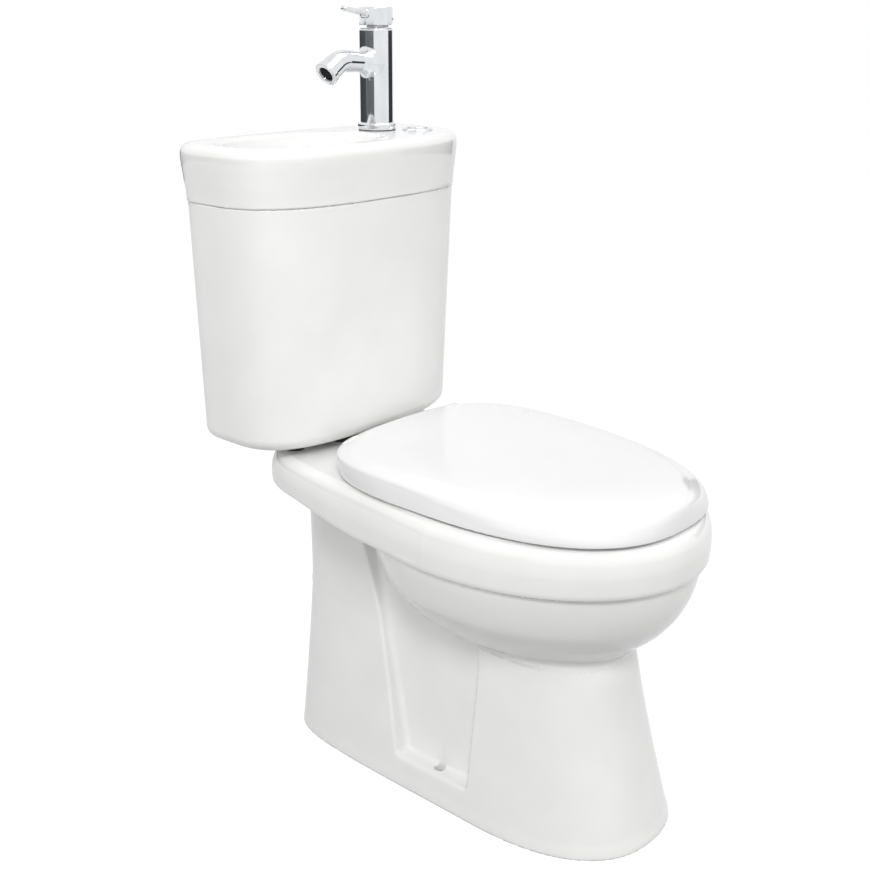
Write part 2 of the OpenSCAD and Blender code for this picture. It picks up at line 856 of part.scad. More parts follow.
module cartridge_nut() {
    color(chrome)
        at_tap(tap_top_z - nut_seat_h)
            rotate_extrude($fn = 96)
                polygon([[cartridge_neck_r + air, 0], [tap_r - 2.5 - run_fit, 0],
                         [tap_r - 2.5 - run_fit, nut_seat_h], [tap_r - 1, nut_seat_h],
                         [tap_r - 1, nut_seat_h + trim_h],
                         [cartridge_neck_r + air, nut_seat_h + trim_h]]);
}

// The handle turns with the spindle and tips about the pin behind it.
cap_z = tap_top_z + trim_h + handle_gap;
pin_back = 9.5;          // from the tap's axis to the pin
pin_r = 1.5;
pin_z = cap_z + 7;
cap_wall = 3;
pin_len = 39;
spindle_z = tap_top_z + trim_h + 0.4;

module tap_spindle() {
    color("silver")
        difference() {
            union() {
                at_tap(spindle_z - 16)
                    cylinder(r = stem_r, h = 20, $fn = 32);
                at_tap(spindle_z)
                    cylinder(r = 12, h = 3, $fn = 48);
                at_tap(spindle_z)
                    translate([-6, -8, 0])
                        cube([20, 16, pin_z + 4 - spindle_z]);
            }
            at_tap(pin_z)
                translate([pin_back, 0, 0])
                    rotate([90, 0, 0])
                        cylinder(r = pin_r + run_fit, h = through, center = true, $fn = 32);
        }
}

module handle_pin() {
    color("silver")
        at_tap(pin_z)
            translate([pin_back, 0, 0])
                rotate([90, 0, 0])
                    cylinder(r = pin_r, h = pin_len, center = true, $fn = 32);
}

lever_w = 11;
lever_rise = 7;          // degrees
lever_tip_t = 5;
lever_root_t = 7.5;
back_cut = 9;            // degrees that the cap's lower edge rises behind the pin

module tap_handle() {
    tip_z = cap_h + 1.2;
    root_z = tip_z - (lever_reach - tap_r) * tan(lever_rise);
    color(chrome)
        at_tap(cap_z)
            difference() {
                union() {
                    rotate_extrude($fn = 96)
                        polygon([[0, 0], [tap_r, 0], [tap_r, cap_h - 1.5], [tap_r - 1.5, cap_h], [0, cap_h]]);
                    intersection() {
                        translate([0, lever_w / 2, 0])
                            rotate([90, 0, 0])
                                linear_extrude(height = lever_w)
                                    polygon([[-tap_r + 3, root_z - lever_root_t],
                                             [-lever_reach, tip_z - lever_tip_t],
                                             [-lever_reach, tip_z], [-tap_r + 3, root_z]]);
                        union() {
                            translate([lever_w / 2 - lever_reach, -lever_w, 0])
                                cube([lever_reach, 2 * lever_w, 2 * cap_h]);
                            translate([lever_w / 2 - lever_reach, 0, 0])
                                cylinder(d = lever_w, h = 2 * cap_h, $fn = 48);
                        }
                    }
                }
                translate([0, 0, -1])
                    cylinder(r = tap_r - cap_wall, h = cap_h - 3, $fn = 96);
                translate([4, -tap_r - 1, 0])
                    rotate([0, -back_cut, 0])
                        translate([0, 0, -10])
                            cube([2 * tap_r, 2 * tap_r + 2, 10]);
                translate([pin_back, 0, pin_z - cap_z])
                    rotate([90, 0, 0])
                        cylinder(r = pin_r + run_fit, h = pin_len + 2 * air, center = true, $fn = 32);
            }
}

lid_under_z = lid_top_z - lid_t;
tap_seal_h = 3;
tap_clamp_h = 2;
tap_nut_h = 12;

module tap_seal() {
    color(rubber)
        at_tap(lid_under_z - tap_seal_h)
            tube(24, tap_shank_r + air, tap_seal_h);
}

module tap_clamp() {
    color("silver")
        at_tap(lid_under_z - tap_seal_h - tap_clamp_h)
            tube(23, tap_shank_r + air, tap_clamp_h);
}

module tap_nut() {
    color("gold")
        at_tap(lid_under_z - tap_seal_h - tap_clamp_h - tap_nut_h)
            difference() {
                cylinder(r = 23, h = tap_nut_h, $fn = 6);
                translate([0, 0, -1])
                    cylinder(r = tap_shank_r + run_fit, h = tap_nut_h + 2, $fn = 64);
            }
}

// ---- flush button -------------------------------------------------------------------------

bezel_h = 3;
barrel_r = button_hole_r - 0.5;
barrel_h = 32;           // barrel below the lid's top
bezel_bore_r = 13.5;
button_h = 9.5;
button_proud = 1.5;      // button above the bezel
split_x = 2;             // where the two buttons meet
button_stem_r = 2;
full_stem_x = -5;
half_stem_x = 7;
rocker_h = 19;
rocker_z = lid_top_z - barrel_h - rocker_h;
gland_r = 4;
gland_h = 10;

module at_button(z) {
    translate([button_x, y_at(button_d), z])
        children();
}

module button_bezel() {
    color(chrome)
        at_button(lid_top_z)
            difference() {
                rotate_extrude($fn = 96)
                    polygon([[bezel_bore_r, -barrel_h], [barrel_r, -barrel_h], [barrel_r, 0],
                             [bezel_dia / 2, 0], [bezel_dia / 2, 0.8], [bezel_dia / 2 - 2.5, bezel_h],
                             [bezel_bore_r, bezel_h - 0.6]]);
            }
}

module button_nut() {
    color(soft_white)
        at_button(lid_under_z - 10)
            difference() {
                cylinder(r = 22, h = 10, $fn = 8);
                translate([0, 0, -1])
                    cylinder(r = barrel_r + run_fit, h = 12, $fn = 64);
            }
}

// One part of the divided button, from x = low to x = high, with its stem.
module flush_button(low, high, stem_x) {
    top_z = lid_top_z + bezel_h + button_proud;
    color(chrome)
        at_button(0) {
            intersection() {
                rotate_extrude($fn = 96)
                    polygon([[0, top_z - button_h], [bezel_bore_r - air, top_z - button_h],
                             [bezel_bore_r - air, top_z - 1], [bezel_bore_r - air - 1, top_z],
                             [0, top_z - 0.5]]);
                translate([low, -bezel_dia, top_z - button_h])
                    cube([high - low, 2 * bezel_dia, button_h]);
            }
            translate([stem_x, 0, rocker_z + rocker_h - 10])
                cylinder(r = button_stem_r, h = top_z - button_h - rocker_z - rocker_h + 10, $fn = 32);
        }
}

module full_flush_button() {
    flush_button(-bezel_dia, split_x - air, full_stem_x);
}

module half_flush_button() {
    flush_button(split_x + air, bezel_dia, half_stem_x);
}

module rocker_box() {
    color(soft_white)
        at_button(rocker_z)
            difference() {
                union() {
                    translate([-17, -12, 0])
                        cube([34, 24, rocker_h]);
                    translate([0, 0, -gland_h])
                        cylinder(r = gland_r, h = gland_h, $fn = 32);
                }
                for (x = [full_stem_x, half_stem_x])
                    translate([x, 0, rocker_h - 10 - button_travel - 1])
                        cylinder(r = button_stem_r + run_fit, h = through, $fn = 32);
            }
}

// ---- flush valve --------------------------------------------------------------------------

valve_flange_h = 5;
inner_seal_h = 2;
seat_z = cistern_floor_z + inner_seal_h + valve_flange_h;
cage_r = 32;
cage_t = 3;
cage_low_z = seat_z + 76;
cage_h = 96;
cap_low_z = cage_low_z + cage_h;
valve_cap_h = 40;
cable_z = cap_low_z + 24;
cable_r = 2.5;
cable_bend_r = 50;
tube_r = 14;
tube_wall = 2.5;
seal_disc_h = 3;
tube_low_z = seat_z + seal_disc_h;
tube_h = 150;

module at_valve(z) {
    translate([0, y_at(flush_d), z])
        children();
}

module flush_valve_body() {
    base_z = seat_z - valve_flange_h;
    shank_h = base_z - (rim_z - 4);
    color(grey_plastic)
        difference() {
            union() {
                at_valve(base_z - shank_h)
                    tube(flush_shank_r, 20, shank_h + valve_flange_h);
                at_valve(base_z)
                    tube(backnut_r, 20, valve_flange_h);
                at_valve(cage_low_z)
                    tube(cage_r, cage_r - cage_t, cage_h);
                at_valve(cage_low_z)
                    tube(cage_r, tube_r + run_fit, 4);
                for (a = [45:90:315])
                    at_valve(seat_z)
                        rotate([0, 0, a])
                            translate([cage_r - 6, -4, -1])
                                cube([5, 8, cage_low_z - seat_z + 3]);
            }
            for (a = [0:90:270])
                at_valve(cage_low_z + 30)
                    rotate([0, 0, a])
                        translate([0, -8, 0])
                            cube([through, 16, 40]);
        }
}

module flush_valve_cap() {
    color("royalblue")
        difference() {
            union() {
                at_valve(cap_low_z)
                    cylinder(r = cage_r + 2, h = valve_cap_h, $fn = 64);
                translate([0, y_at(flush_d), cable_z])
                    on_cable_line()
                        rotate([0, 90, 0])
                            cylinder(r = gland_r, h = cage_r + gland_h, $fn = 32);
            }
            at_valve(cap_low_z - 1)
                cylinder(r = cage_r - 2, h = valve_cap_h - 4, $fn = 64);
        }
}

module flush_valve_seal() {
    color(rubber)
        at_valve(cistern_floor_z)
            tube(backnut_r - 1, flush_shank_r + air, inner_seal_h);
}

module flush_seal() {
    color("red")
        at_valve(seat_z)
            tube(25.5, tube_r - tube_wall, seal_disc_h);
}

module lift_tube() {
    color(soft_white)
        at_valve(tube_low_z)
            difference() {
                union() {
                    cylinder(r = tube_r, h = tube_h, $fn = 64);
                    cylinder(r = 24, h = 4, $fn = 64);
                }
                translate([0, 0, -1])
                    cylinder(r = tube_r - tube_wall, h = tube_h + 2, $fn = 64);
            }
}

module flush_backnut() {
    color(grey_plastic)
        at_valve(cistern_z - 9)
            difference() {
                cylinder(r = backnut_r, h = 9, $fn = 64);
                translate([0, 0, -1])
                    cylinder(r = flush_shank_r + run_fit, h = 11, $fn = 64);
                for (a = [0:60:300])
                    rotate([0, 0, a])
                        translate([backnut_r - 3, -3, -1])
                            cube([10, 6, 11]);
            }
}

// The cable runs in the upright plane through the valve and the button.
button_run = norm([button_x, button_d - flush_d]);

module on_cable_line() {
    rotate([0, 0, atan2(flush_d - button_d, button_x)])
        children();
}

module flush_cable() {
    up_z = rocker_z - gland_h;
    gland_end = cage_r + gland_h;
    color("dimgray")
        translate([0, y_at(flush_d), cable_z])
            on_cable_line() {
                translate([gland_end, 0, 0])
                    rotate([0, 90, 0])
                        cylinder(r = cable_r, h = button_run - cable_bend_r - gland_end, $fn = 32);
                translate([button_run - cable_bend_r, 0, cable_bend_r])
                    rotate([90, 0, 0])
                        rotate([0, 0, -90])
                            rotate_extrude(angle = 90, $fn = 96)
                                translate([cable_bend_r, 0])
                                    circle(r = cable_r, $fn = 32);
                translate([button_run, 0, cable_bend_r])
                    cylinder(r = cable_r, h = up_z - cable_z - cable_bend_r, $fn = 32);
            }
}

// ---- fill valve ---------------------------------------------------------------------------

fill_seal_h = 3;
fill_flange_h = 4;
riser_r = 9;
fill_head_z = cistern_floor_z + 180;
fill_head_h = 30;
fill_head_r = 17;
fill_tail_h = 22;        // shank below the nut
fill_tail_r = 10.3;
fill_seal_r = 17;
fill_neck_h = 1;         // groove between the tail's thread and the nut's
fill_neck_r = 9.5;
fill_nut_h = 8;
arm_len = 50;
arm_pin_x = 22;          // from the riser's axis to the arm's pin
arm_pin_r = 2;
arm_dip = 12;            // degrees that the empty float hangs below level
arm_z = fill_head_z + 12;
float_r = 22;
float_h = 62;
float_drop = 22;         // top of the float below the arm

module at_fill(z) {
    translate([fill_x, y_at(fill_d), z])
        children();
}

module fill_valve_body() {
    low_z = cistern_z - fill_nut_h - fill_tail_h;
    base_z = cistern_floor_z + fill_seal_h;
    color(soft_white)
        difference() {
            union() {
                at_fill(low_z)
                    cylinder(r = fill_tail_r, h = fill_tail_h - fill_neck_h, $fn = 48);
                at_fill(low_z)
                    cylinder(r = fill_neck_r, h = base_z - low_z, $fn = 48);
                at_fill(low_z + fill_tail_h)
                    cylinder(r = shank_r, h = base_z - low_z - fill_tail_h, $fn = 48);
                at_fill(base_z)
                    cylinder(r = fill_seal_r + 1, h = fill_flange_h, $fn = 48);
                at_fill(base_z)
                    cylinder(r = riser_r, h = fill_head_z - base_z, $fn = 48);
                at_fill(fill_head_z)
                    cylinder(r = fill_head_r, h = fill_head_h, $fn = 64);
                for (y = [-8, 5])
                    at_fill(arm_z - 7)
                        translate([0, y, 0])
                            cube([arm_pin_x + 5, 3, 14]);
            }
            at_fill(low_z - 1)
                cylinder(r = 5.5, h = fill_head_z - low_z, $fn = 32);
            at_fill(arm_z)
                translate([arm_pin_x, 0, 0])
                    rotate([90, 0, 0])
                        cylinder(r = arm_pin_r + run_fit, h = through, center = true, $fn = 32);
        }
}

module fill_valve_cap() {
    color("royalblue")
        at_fill(fill_head_z + fill_head_h)
            rotate_extrude($fn = 64)
                polygon([[0, 0], [fill_head_r + 1, 0], [fill_head_r + 1, 8], [fill_head_r - 2, 11], [0, 11]]);
}

module fill_valve_seal() {
    color(rubber)
        at_fill(cistern_floor_z)
            tube(fill_seal_r, shank_r + air, fill_seal_h);
}

module fill_valve_nut() {
    color(soft_white)
        at_fill(cistern_z - fill_nut_h)
            difference() {
                cylinder(r = fill_seal_r, h = fill_nut_h, $fn = 6);
                translate([0, 0, -1])
                    cylinder(r = shank_r + run_fit, h = fill_nut_h + 2, $fn = 48);
            }
}

// The arm is drawn level and tipped down about its pin, with the float hung under its end.
module on_arm() {
    at_fill(arm_z)
        translate([arm_pin_x, 0, 0])
            rotate([0, arm_dip, 0])
                children();
}

module float_arm() {
    color("royalblue")
        on_arm() {
            rotate([90, 0, 0])
                cylinder(r = arm_pin_r, h = 16, center = true, $fn = 32);
            rotate([90, 0, 0])
                cylinder(r = 4.5, h = 9, center = true, $fn = 32);
            translate([0, -3, -2.5])
                cube([arm_len + 5, 6, 5]);
            translate([arm_len, 0, -float_drop])
                cylinder(r = 2.5, h = float_drop + 4, $fn = 32);
        }
}

module fill_float() {
    color(soft_white)
        on_arm()
            translate([arm_len, 0, -float_drop - float_h])
                rotate_extrude($fn = 64)
                    polygon([[0, 0], [float_r - 3, 0], [float_r, 3], [float_r, float_h - 3],
                             [float_r - 3, float_h], [0, float_h]]);
}

// ---- seat ---------------------------------------------------------------------------------

seat_mid_d = 379;
hinge_z = rim_z + hinge_h;
knuckle_r = 8;
post_w = 18;
knuckle_gap = air;
ring_play = 2.2;         // between the ring and the seat lid's wall
buffer_h = 4;
ring_z = rim_z + buffer_h;
ceiling_h = seat_h - 6;  // the seat lid's flat ceiling above the rim
ring_knuckle_w = 15;
damper_r = 5.5;
damper_len = 25;
lid_knuckle_w = 15;
edge_r = hinge_h - 0.6;  // the seat lid's rear edge turns inside this radius
ring_back = edge_r + 0.6; // from the hinge axis forward to the ring's straight rear edge
ring_tuck = 18;          // how far the ring's rear corners stay inside the lid's

// The outline draws together towards the crown: its widest line moves back and its front
// grows more pointed as lean goes from 0 to 1.
function seat_outline(inset, lean = 0, tuck = 0) =
    egg(seat_w - inset, seat_back_d + inset + tuck, seat_mid_d - 50 * lean, seat_front_d - inset,
        3.2 + 1.5 * lean, 2.47 - 0.5 * lean, 0, shell_n);

function seat_ring_at(h, inset, lean) = ring(seat_outline(inset, lean), rim_z + h);

// Heights above the rim and insets of the seat lid's outside and inside.
lid_outside = [[seat_gap, 1, 0], [seat_gap + 1.2, 0, 0], [seat_h - 21, 1.5, 0.25],
               [seat_h - 13, 3.5, 0.6], [seat_h - 9, 6, 0.85], [seat_h - 6, 10, 1],
               [seat_h - 3.6, 17, 1], [seat_h - 2, 30, 1], [seat_h - 0.8, 56, 1], [seat_h, 92, 1]];
lid_inside = [[seat_gap - 1, seat_t, 0], [seat_h - 21, seat_t + 1.5, 0.25],
              [seat_h - 13, seat_t + 3.5, 0.6], [ceiling_h, seat_t + 14, 1]];

// Bar along the hinge axis, placed by its left end on the right-hand hinge.
module hinge_bar(x, length, r) {
    translate([x, y_at(hinge_d), hinge_z])
        rotate([0, 90, 0])
            cylinder(r = r, h = length, $fn = 48);
}

module both_hinges() {
    for (side = [0, 1])
        mirror([side, 0, 0])
            children();
}

post_x = hinge_c / 2 - post_w / 2;
lid_knuckle_x = post_x + post_w + knuckle_gap;
ring_knuckle_x = post_x - knuckle_gap - ring_knuckle_w;
damper_x = ring_knuckle_x - damper_len;
pin_x = ring_knuckle_x - 8;
pin_end_x = lid_knuckle_x + lid_knuckle_w;
notch_up = 5.5;          // top of the notch over the hinge axis

module seat_lid() {
    color("white")
        difference() {
            resize([0, 0, seat_h - seat_gap])
                difference() {
                    union() {
                        difference() {
                            skin([for (s = lid_outside) seat_ring_at(s[0], s[1], s[2])]);
                            skin([for (s = lid_inside) seat_ring_at(s[0], s[1], s[2])]);
                        }
                        both_hinges() {
                            hinge_bar(lid_knuckle_x, lid_knuckle_w, knuckle_r);
                            translate([lid_knuckle_x, y_at(hinge_d + knuckle_r), hinge_z])
                                cube([lid_knuckle_w, 2 * knuckle_r, ceiling_h - hinge_h + 1]);
                        }
                    }
                    // the rear edge is rounded about the hinge, and open at the posts
                    difference() {
                        translate([-seat_w, y_at(hinge_d), rim_z])
                            cube([2 * seat_w, through, hinge_h]);
                        translate([-seat_w, 0, 0])
                            hinge_bar(0, 2 * seat_w, edge_r);
                    }
                    both_hinges() {
                        translate([post_x - air, y_at(hinge_d + knuckle_r + 1), rim_z])
                            cube([post_w + 2 * air, through, hinge_h + notch_up]);
                        hinge_bar(damper_x - 1, lid_knuckle_x - damper_x + 1, knuckle_r + 1);
                    }
                }
            both_hinges()
                hinge_bar(lid_knuckle_x - 1, lid_knuckle_w + 2, pin_dia / 2 + run_fit);
        }
}

// The ring's outline at its height, and the opening through it.
ring_outside = [[0, 1.5, 0], [1.5, 0, 0.02], [ring_t - 4, 0.5, 0.23], [ring_t - 1, 3, 0.25],
                [ring_t, 8, 0.25]];
ring_opening = [[-1, 0], [4, 0], [ring_t - 6, 2], [ring_t - 2, 7], [ring_t + 1, 14]];

module seat_ring() {
    color("white")
        difference() {
            resize([0, 0, ring_top_h()])
                union() {
                    difference() {
                        skin([for (s = ring_outside)
                            ring(seat_outline(seat_t + ring_play + s[1], s[2], ring_tuck), ring_z + s[0])]);
                        skin([for (s = ring_opening)
                            ring(egg(108 + s[1], 264 - s[1], 400, seat_front_d - 71 + s[1], 2.3, 2.1, 0,
                                     shell_n), ring_z + s[0])]);
                        translate([-seat_w, y_at(hinge_d + ring_back), rim_z])
                            cube([2 * seat_w, through, 2 * hinge_h]);
                    }
                    both_hinges() {
                        hinge_bar(damper_x, ring_knuckle_w + damper_len, knuckle_r);
                        translate([damper_x, y_at(hinge_d + ring_back + 6), hinge_z - knuckle_r])
                            cube([ring_knuckle_w + damper_len, ring_back + 6, knuckle_r + 2]);
                    }
                }
            both_hinges() {
                hinge_bar(pin_x, post_x - pin_x + 1, pin_dia / 2 + run_fit);
                hinge_bar(damper_x - 1, damper_len + 1, damper_r + run_fit);
            }
        }
}

// The ring node spans from its underside to the top of the knuckles.
function ring_top_h() = hinge_z + knuckle_r - ring_z;

module hinge_dampers() {
    color("dimgray")
        both_hinges()
            difference() {
                hinge_bar(damper_x + 0.5, damper_len - 0.6, damper_r);
                hinge_bar(pin_x - air, through, pin_dia / 2 + run_fit);
            }
}

module hinge_pins() {
    color("silver")
        both_hinges()
            hinge_bar(pin_x, pin_end_x - pin_x, pin_dia / 2);
}

post_flange_r = post_w / 2;
post_back = 4;           // post behind the hinge axis
pad_h = 1;
stud_r = 4;
stud_up = 8;             // stud inside the post
sleeve_h = 32;
cone_h = 8;

module on_studs(z) {
    both_sides(hinge_c / 2)
        translate([0, y_at(stud_d), z])
            children();
}

module hinge_posts() {
    color("silver")
        difference() {
            union() {
                on_studs(rim_z + pad_h)
                    cylinder(r = post_flange_r, h = 2.5, $fn = 64);
                both_sides(hinge_c / 2)
                    translate([-post_w / 2, y_at(hinge_d + knuckle_r), rim_z + pad_h])
                        cube([post_w, knuckle_r + post_back, hinge_h - pad_h]);
                both_hinges()
                    hinge_bar(post_x, post_w, knuckle_r);
            }
            both_hinges()
                hinge_bar(post_x - 1, post_w + 2, pin_dia / 2 + run_fit);
            on_studs(rim_z)
                cylinder(r = stud_r + run_fit, h = pad_h + stud_up + air, $fn = 32);
        }
}

module hinge_pads() {
    color(rubber)
        on_studs(rim_z)
            tube(post_flange_r, stud_r + air, pad_h);
}

module hinge_studs() {
    low = rim_z - stud_hole_h + 3;
    color("silver")
        on_studs(low)
            cylinder(r = stud_r, h = rim_z + pad_h + stud_up - low, $fn = 32);
}

module hinge_sleeves() {
    color(rubber)
        on_studs(rim_z - sleeve_h)
            tube(stud_hole_r - air, stud_r + air, sleeve_h - air);
}

module hinge_cone_nuts() {
    color("silver")
        on_studs(rim_z - sleeve_h - cone_h)
            difference() {
                cylinder(r1 = stud_hole_r - air, r2 = stud_r + 2, h = cone_h, $fn = 48);
                translate([0, 0, -1])
                    cylinder(r = stud_r + run_fit, h = cone_h + 2, $fn = 32);
            }
}

front_in = 48;           // how far in from the seat's widest line the buffers stand
rear_in = 38;

function mix(a, b, k) = a + (b - a) * k;

module ring_buffers() {
    color(soft_white)
        for (p = [[seat_w - front_in, mix(seat_mid_d, seat_front_d, 0.5)],
                  [seat_w - rear_in + 13, seat_back_d + 104]])
            both_sides(p[0])
                translate([0, y_at(p[1]), rim_z])
                    cylinder(r = 6.5, h = buffer_h, $fn = 32);
}

module lid_buffers() {
    low = ring_z + ring_t;
    color(soft_white)
        for (p = [[seat_w - front_in, mix(seat_mid_d, seat_front_d, 0.38)],
                  [seat_w - rear_in, seat_back_d + 114]])
            both_sides(p[0])
                translate([0, y_at(p[1]), low])
                    cylinder(r = 6, h = rim_z + ceiling_h - low, $fn = 32);
}

// ---- nodes --------------------------------------------------------------------------------

pan();
cistern();
basin_lid();
seat_ring();
seat_lid();
ring_buffers();
lid_buffers();
hinge_posts();
hinge_pins();
hinge_dampers();
hinge_pads();
hinge_studs();
hinge_sleeves();
hinge_cone_nuts();
coupling_washer();
cistern_bolts();
cistern_seals();
cistern_plates();
cistern_spacers();
cistern_wing_nuts();
tap_body();
tap_base_ring();
tap_gasket();
outlet_ring();
aerator();
cartridge();
cartridge_nut();
tap_spindle();
handle_pin();
tap_handle();
tap_seal();
tap_clamp();
tap_nut();
waste_flange();
waste_seals();
waste_nut();
button_bezel();
button_nut();
full_flush_button();
half_flush_button();
rocker_box();
flush_cable();
flush_valve_body();
flush_valve_cap();
flush_valve_seal();
lift_tube();
flush_seal();
flush_backnut();
fill_valve_body();
fill_valve_cap();
fill_valve_seal();
fill_valve_nut();
float_arm();
fill_float();
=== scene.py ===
import json
import math
from concurrent.futures import ThreadPoolExecutor

import bpy
import numpy as np
from mathutils import Matrix, Vector


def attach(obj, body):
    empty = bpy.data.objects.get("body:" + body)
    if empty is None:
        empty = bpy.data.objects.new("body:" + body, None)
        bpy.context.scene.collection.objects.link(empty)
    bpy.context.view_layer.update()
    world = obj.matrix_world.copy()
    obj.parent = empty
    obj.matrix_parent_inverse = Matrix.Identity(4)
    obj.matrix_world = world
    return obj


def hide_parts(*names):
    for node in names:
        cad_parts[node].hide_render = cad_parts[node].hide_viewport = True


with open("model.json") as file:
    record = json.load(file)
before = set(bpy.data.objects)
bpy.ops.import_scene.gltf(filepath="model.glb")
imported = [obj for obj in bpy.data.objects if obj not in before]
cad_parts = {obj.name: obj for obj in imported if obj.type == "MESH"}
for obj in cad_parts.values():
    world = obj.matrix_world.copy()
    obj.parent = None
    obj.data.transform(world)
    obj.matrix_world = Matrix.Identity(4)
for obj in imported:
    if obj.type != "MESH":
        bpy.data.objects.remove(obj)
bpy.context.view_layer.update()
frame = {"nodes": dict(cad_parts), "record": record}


# ---- Pan -----------------------------------------------------------------------------------
# One slip-cast piece of vitreous china: a foot with a pocket in each side, the bowl that stands
# out over it, the rim band and the deck that carries the cistern. It is cast in plaster moulds
# and glazed, so every edge is soft. Each china piece is described here as a solid by a signed
# distance in millimetres, with its fillets, and cast() turns that into a mesh.

MM = 0.001
WALL_Y = 316.0      # the wall plane; depths d are measured forward from it


def meet(a, b, r=0.0):
    """What lies in both solids, with a rounded edge of radius r."""
    if r <= 0:
        return np.maximum(a, b)
    return np.minimum(np.maximum(a, b), -r) + np.hypot(np.maximum(a + r, 0), np.maximum(b + r, 0))


def cut(a, b, r=0.0):
    """Solid a without solid b."""
    return meet(a, -b, r)


def join(a, b, r=0.0):
    """Both solids, with a hollow fillet of radius r between them."""
    return -meet(-a, -b, r)


def smooth_rows(rows, count=200):
    """Stations of a loft, sorted by height, filled in along smooth curves that never overshoot."""
    a = np.array(sorted(rows), float)
    z, v = a[:, 0], a[:, 1:]
    h = np.diff(z)[:, None]
    s = np.diff(v, axis=0) / h
    m = np.vstack([s[:1], np.zeros((len(a) - 2, v.shape[1])), s[-1:]])
    w1, w2 = 2 * h[1:] + h[:-1], h[1:] + 2 * h[:-1]
    same = s[1:] * s[:-1] > 0
    low, high = np.where(same, s[:-1], 1), np.where(same, s[1:], 1)
    m[1:-1] = np.where(same, (w1 + w2) / (w1 / low + w2 / high), 0)
    zs = np.linspace(z[0], z[-1], count)
    k = np.clip(np.searchsorted(z, zs, side="right") - 1, 0, len(z) - 2)
    t = ((zs - z[k]) / h[k, 0])[:, None]
    out = ((2 * t + 1) * (1 - t) ** 2 * v[k] + t * (1 - t) ** 2 * h[k] * m[k]
           + t * t * (3 - 2 * t) * v[k + 1] + t * t * (t - 1) * h[k] * m[k + 1])
    return np.hstack([zs[:, None], out]).astype(np.float32)


def loft(x, d, z, table):
    """Distance to a loft of egg outlines. A row of the table is height, half width, depth of the
    back, of the widest line and of the front, squareness of back and front, and back taper."""
    def outline(height):
        w, back, mid, front, nb, nf, taper = [np.interp(height, table[:, 0], table[:, k]).astype(np.float32)
                                              for k in range(1, 8)]
        rear = d < mid
        span = np.where(rear, mid - back, front - mid)
        t = np.abs(d - mid) / span
        n = np.where(rear, nb, nf)
        half = w * np.where(rear, 1 - taper * t, 1)
        u = np.abs(x) / half
        g = np.maximum((u ** n + t ** n) ** (1 / n), 1e-3)
        return g, u, t, n, half, span
    g, u, t, n, half, span = outline(z)
    gz = outline(z + 1.0)[0] - g
    gx = (u / g) ** (n - 1) / half
    gd = (t / g) ** (n - 1) / span
    return (g - 1) / np.sqrt(gx * gx + gd * gd + gz * gz + 1e-9)


def upright(x, d, at_x, at_d, r):
    """Distance to an upright round bar."""
    return np.hypot(x - at_x, d - at_d) - r


def surface_nets(v, origin, step):
    """The closed quad mesh where the sampled distance v changes sign."""
    inside = v < 0
    count = sum(inside[i:i + v.shape[0] - 1, j:j + v.shape[1] - 1, k:k + v.shape[2] - 1].astype(np.int8)
                for i in (0, 1) for j in (0, 1) for k in (0, 1))
    cells = np.argwhere((count > 0) & (count < 8))
    index = np.full(count.shape, -1, np.int32)
    index[tuple(cells.T)] = np.arange(len(cells))
    total, hits = np.zeros((len(cells), 3)), np.zeros(len(cells))
    corners = [(i, j, k) for i in (0, 1) for j in (0, 1) for k in (0, 1)]
    for a in corners:
        for axis in range(3):
            if a[axis]:
                continue
            b = tuple(1 if q == axis else a[q] for q in range(3))
            va, vb = v[tuple((cells + a).T)], v[tuple((cells + b).T)]
            crossed = (va < 0) != (vb < 0)
            t = np.where(crossed, va / np.where(crossed, va - vb, 1), 0)
            total += crossed[:, None] * (np.array(a) + t[:, None] * (np.array(b) - np.array(a)))
            hits += crossed
    points = origin + step * (cells + total / hits[:, None])
    quads = []
    for axis in range(3):
        b, c = np.eye(3, dtype=int)[(axis + 1) % 3], np.eye(3, dtype=int)[(axis + 2) % 3]
        low = [slice(None)] * 3
        high = [slice(None)] * 3
        low[axis], high[axis] = slice(0, -1), slice(1, None)
        edges = np.argwhere(inside[tuple(low)] != inside[tuple(high)])
        ring = np.stack([index[tuple((edges - s).T)] for s in (b + c, c, 0 * b, b)], axis=1)
        out = inside[tuple(edges.T)]
        quads.append(np.where(out[:, None], ring, ring[:, ::-1]))
    return points, np.vstack(quads)


def slope(field, p, h=0.05):
    """Distance and its gradient at points."""
    f = field(*p.T)
    g = np.stack([(field(*(p + e * h).T) - field(*(p - e * h).T)) / (2 * h) for e in np.eye(3)], axis=1)
    return f, g


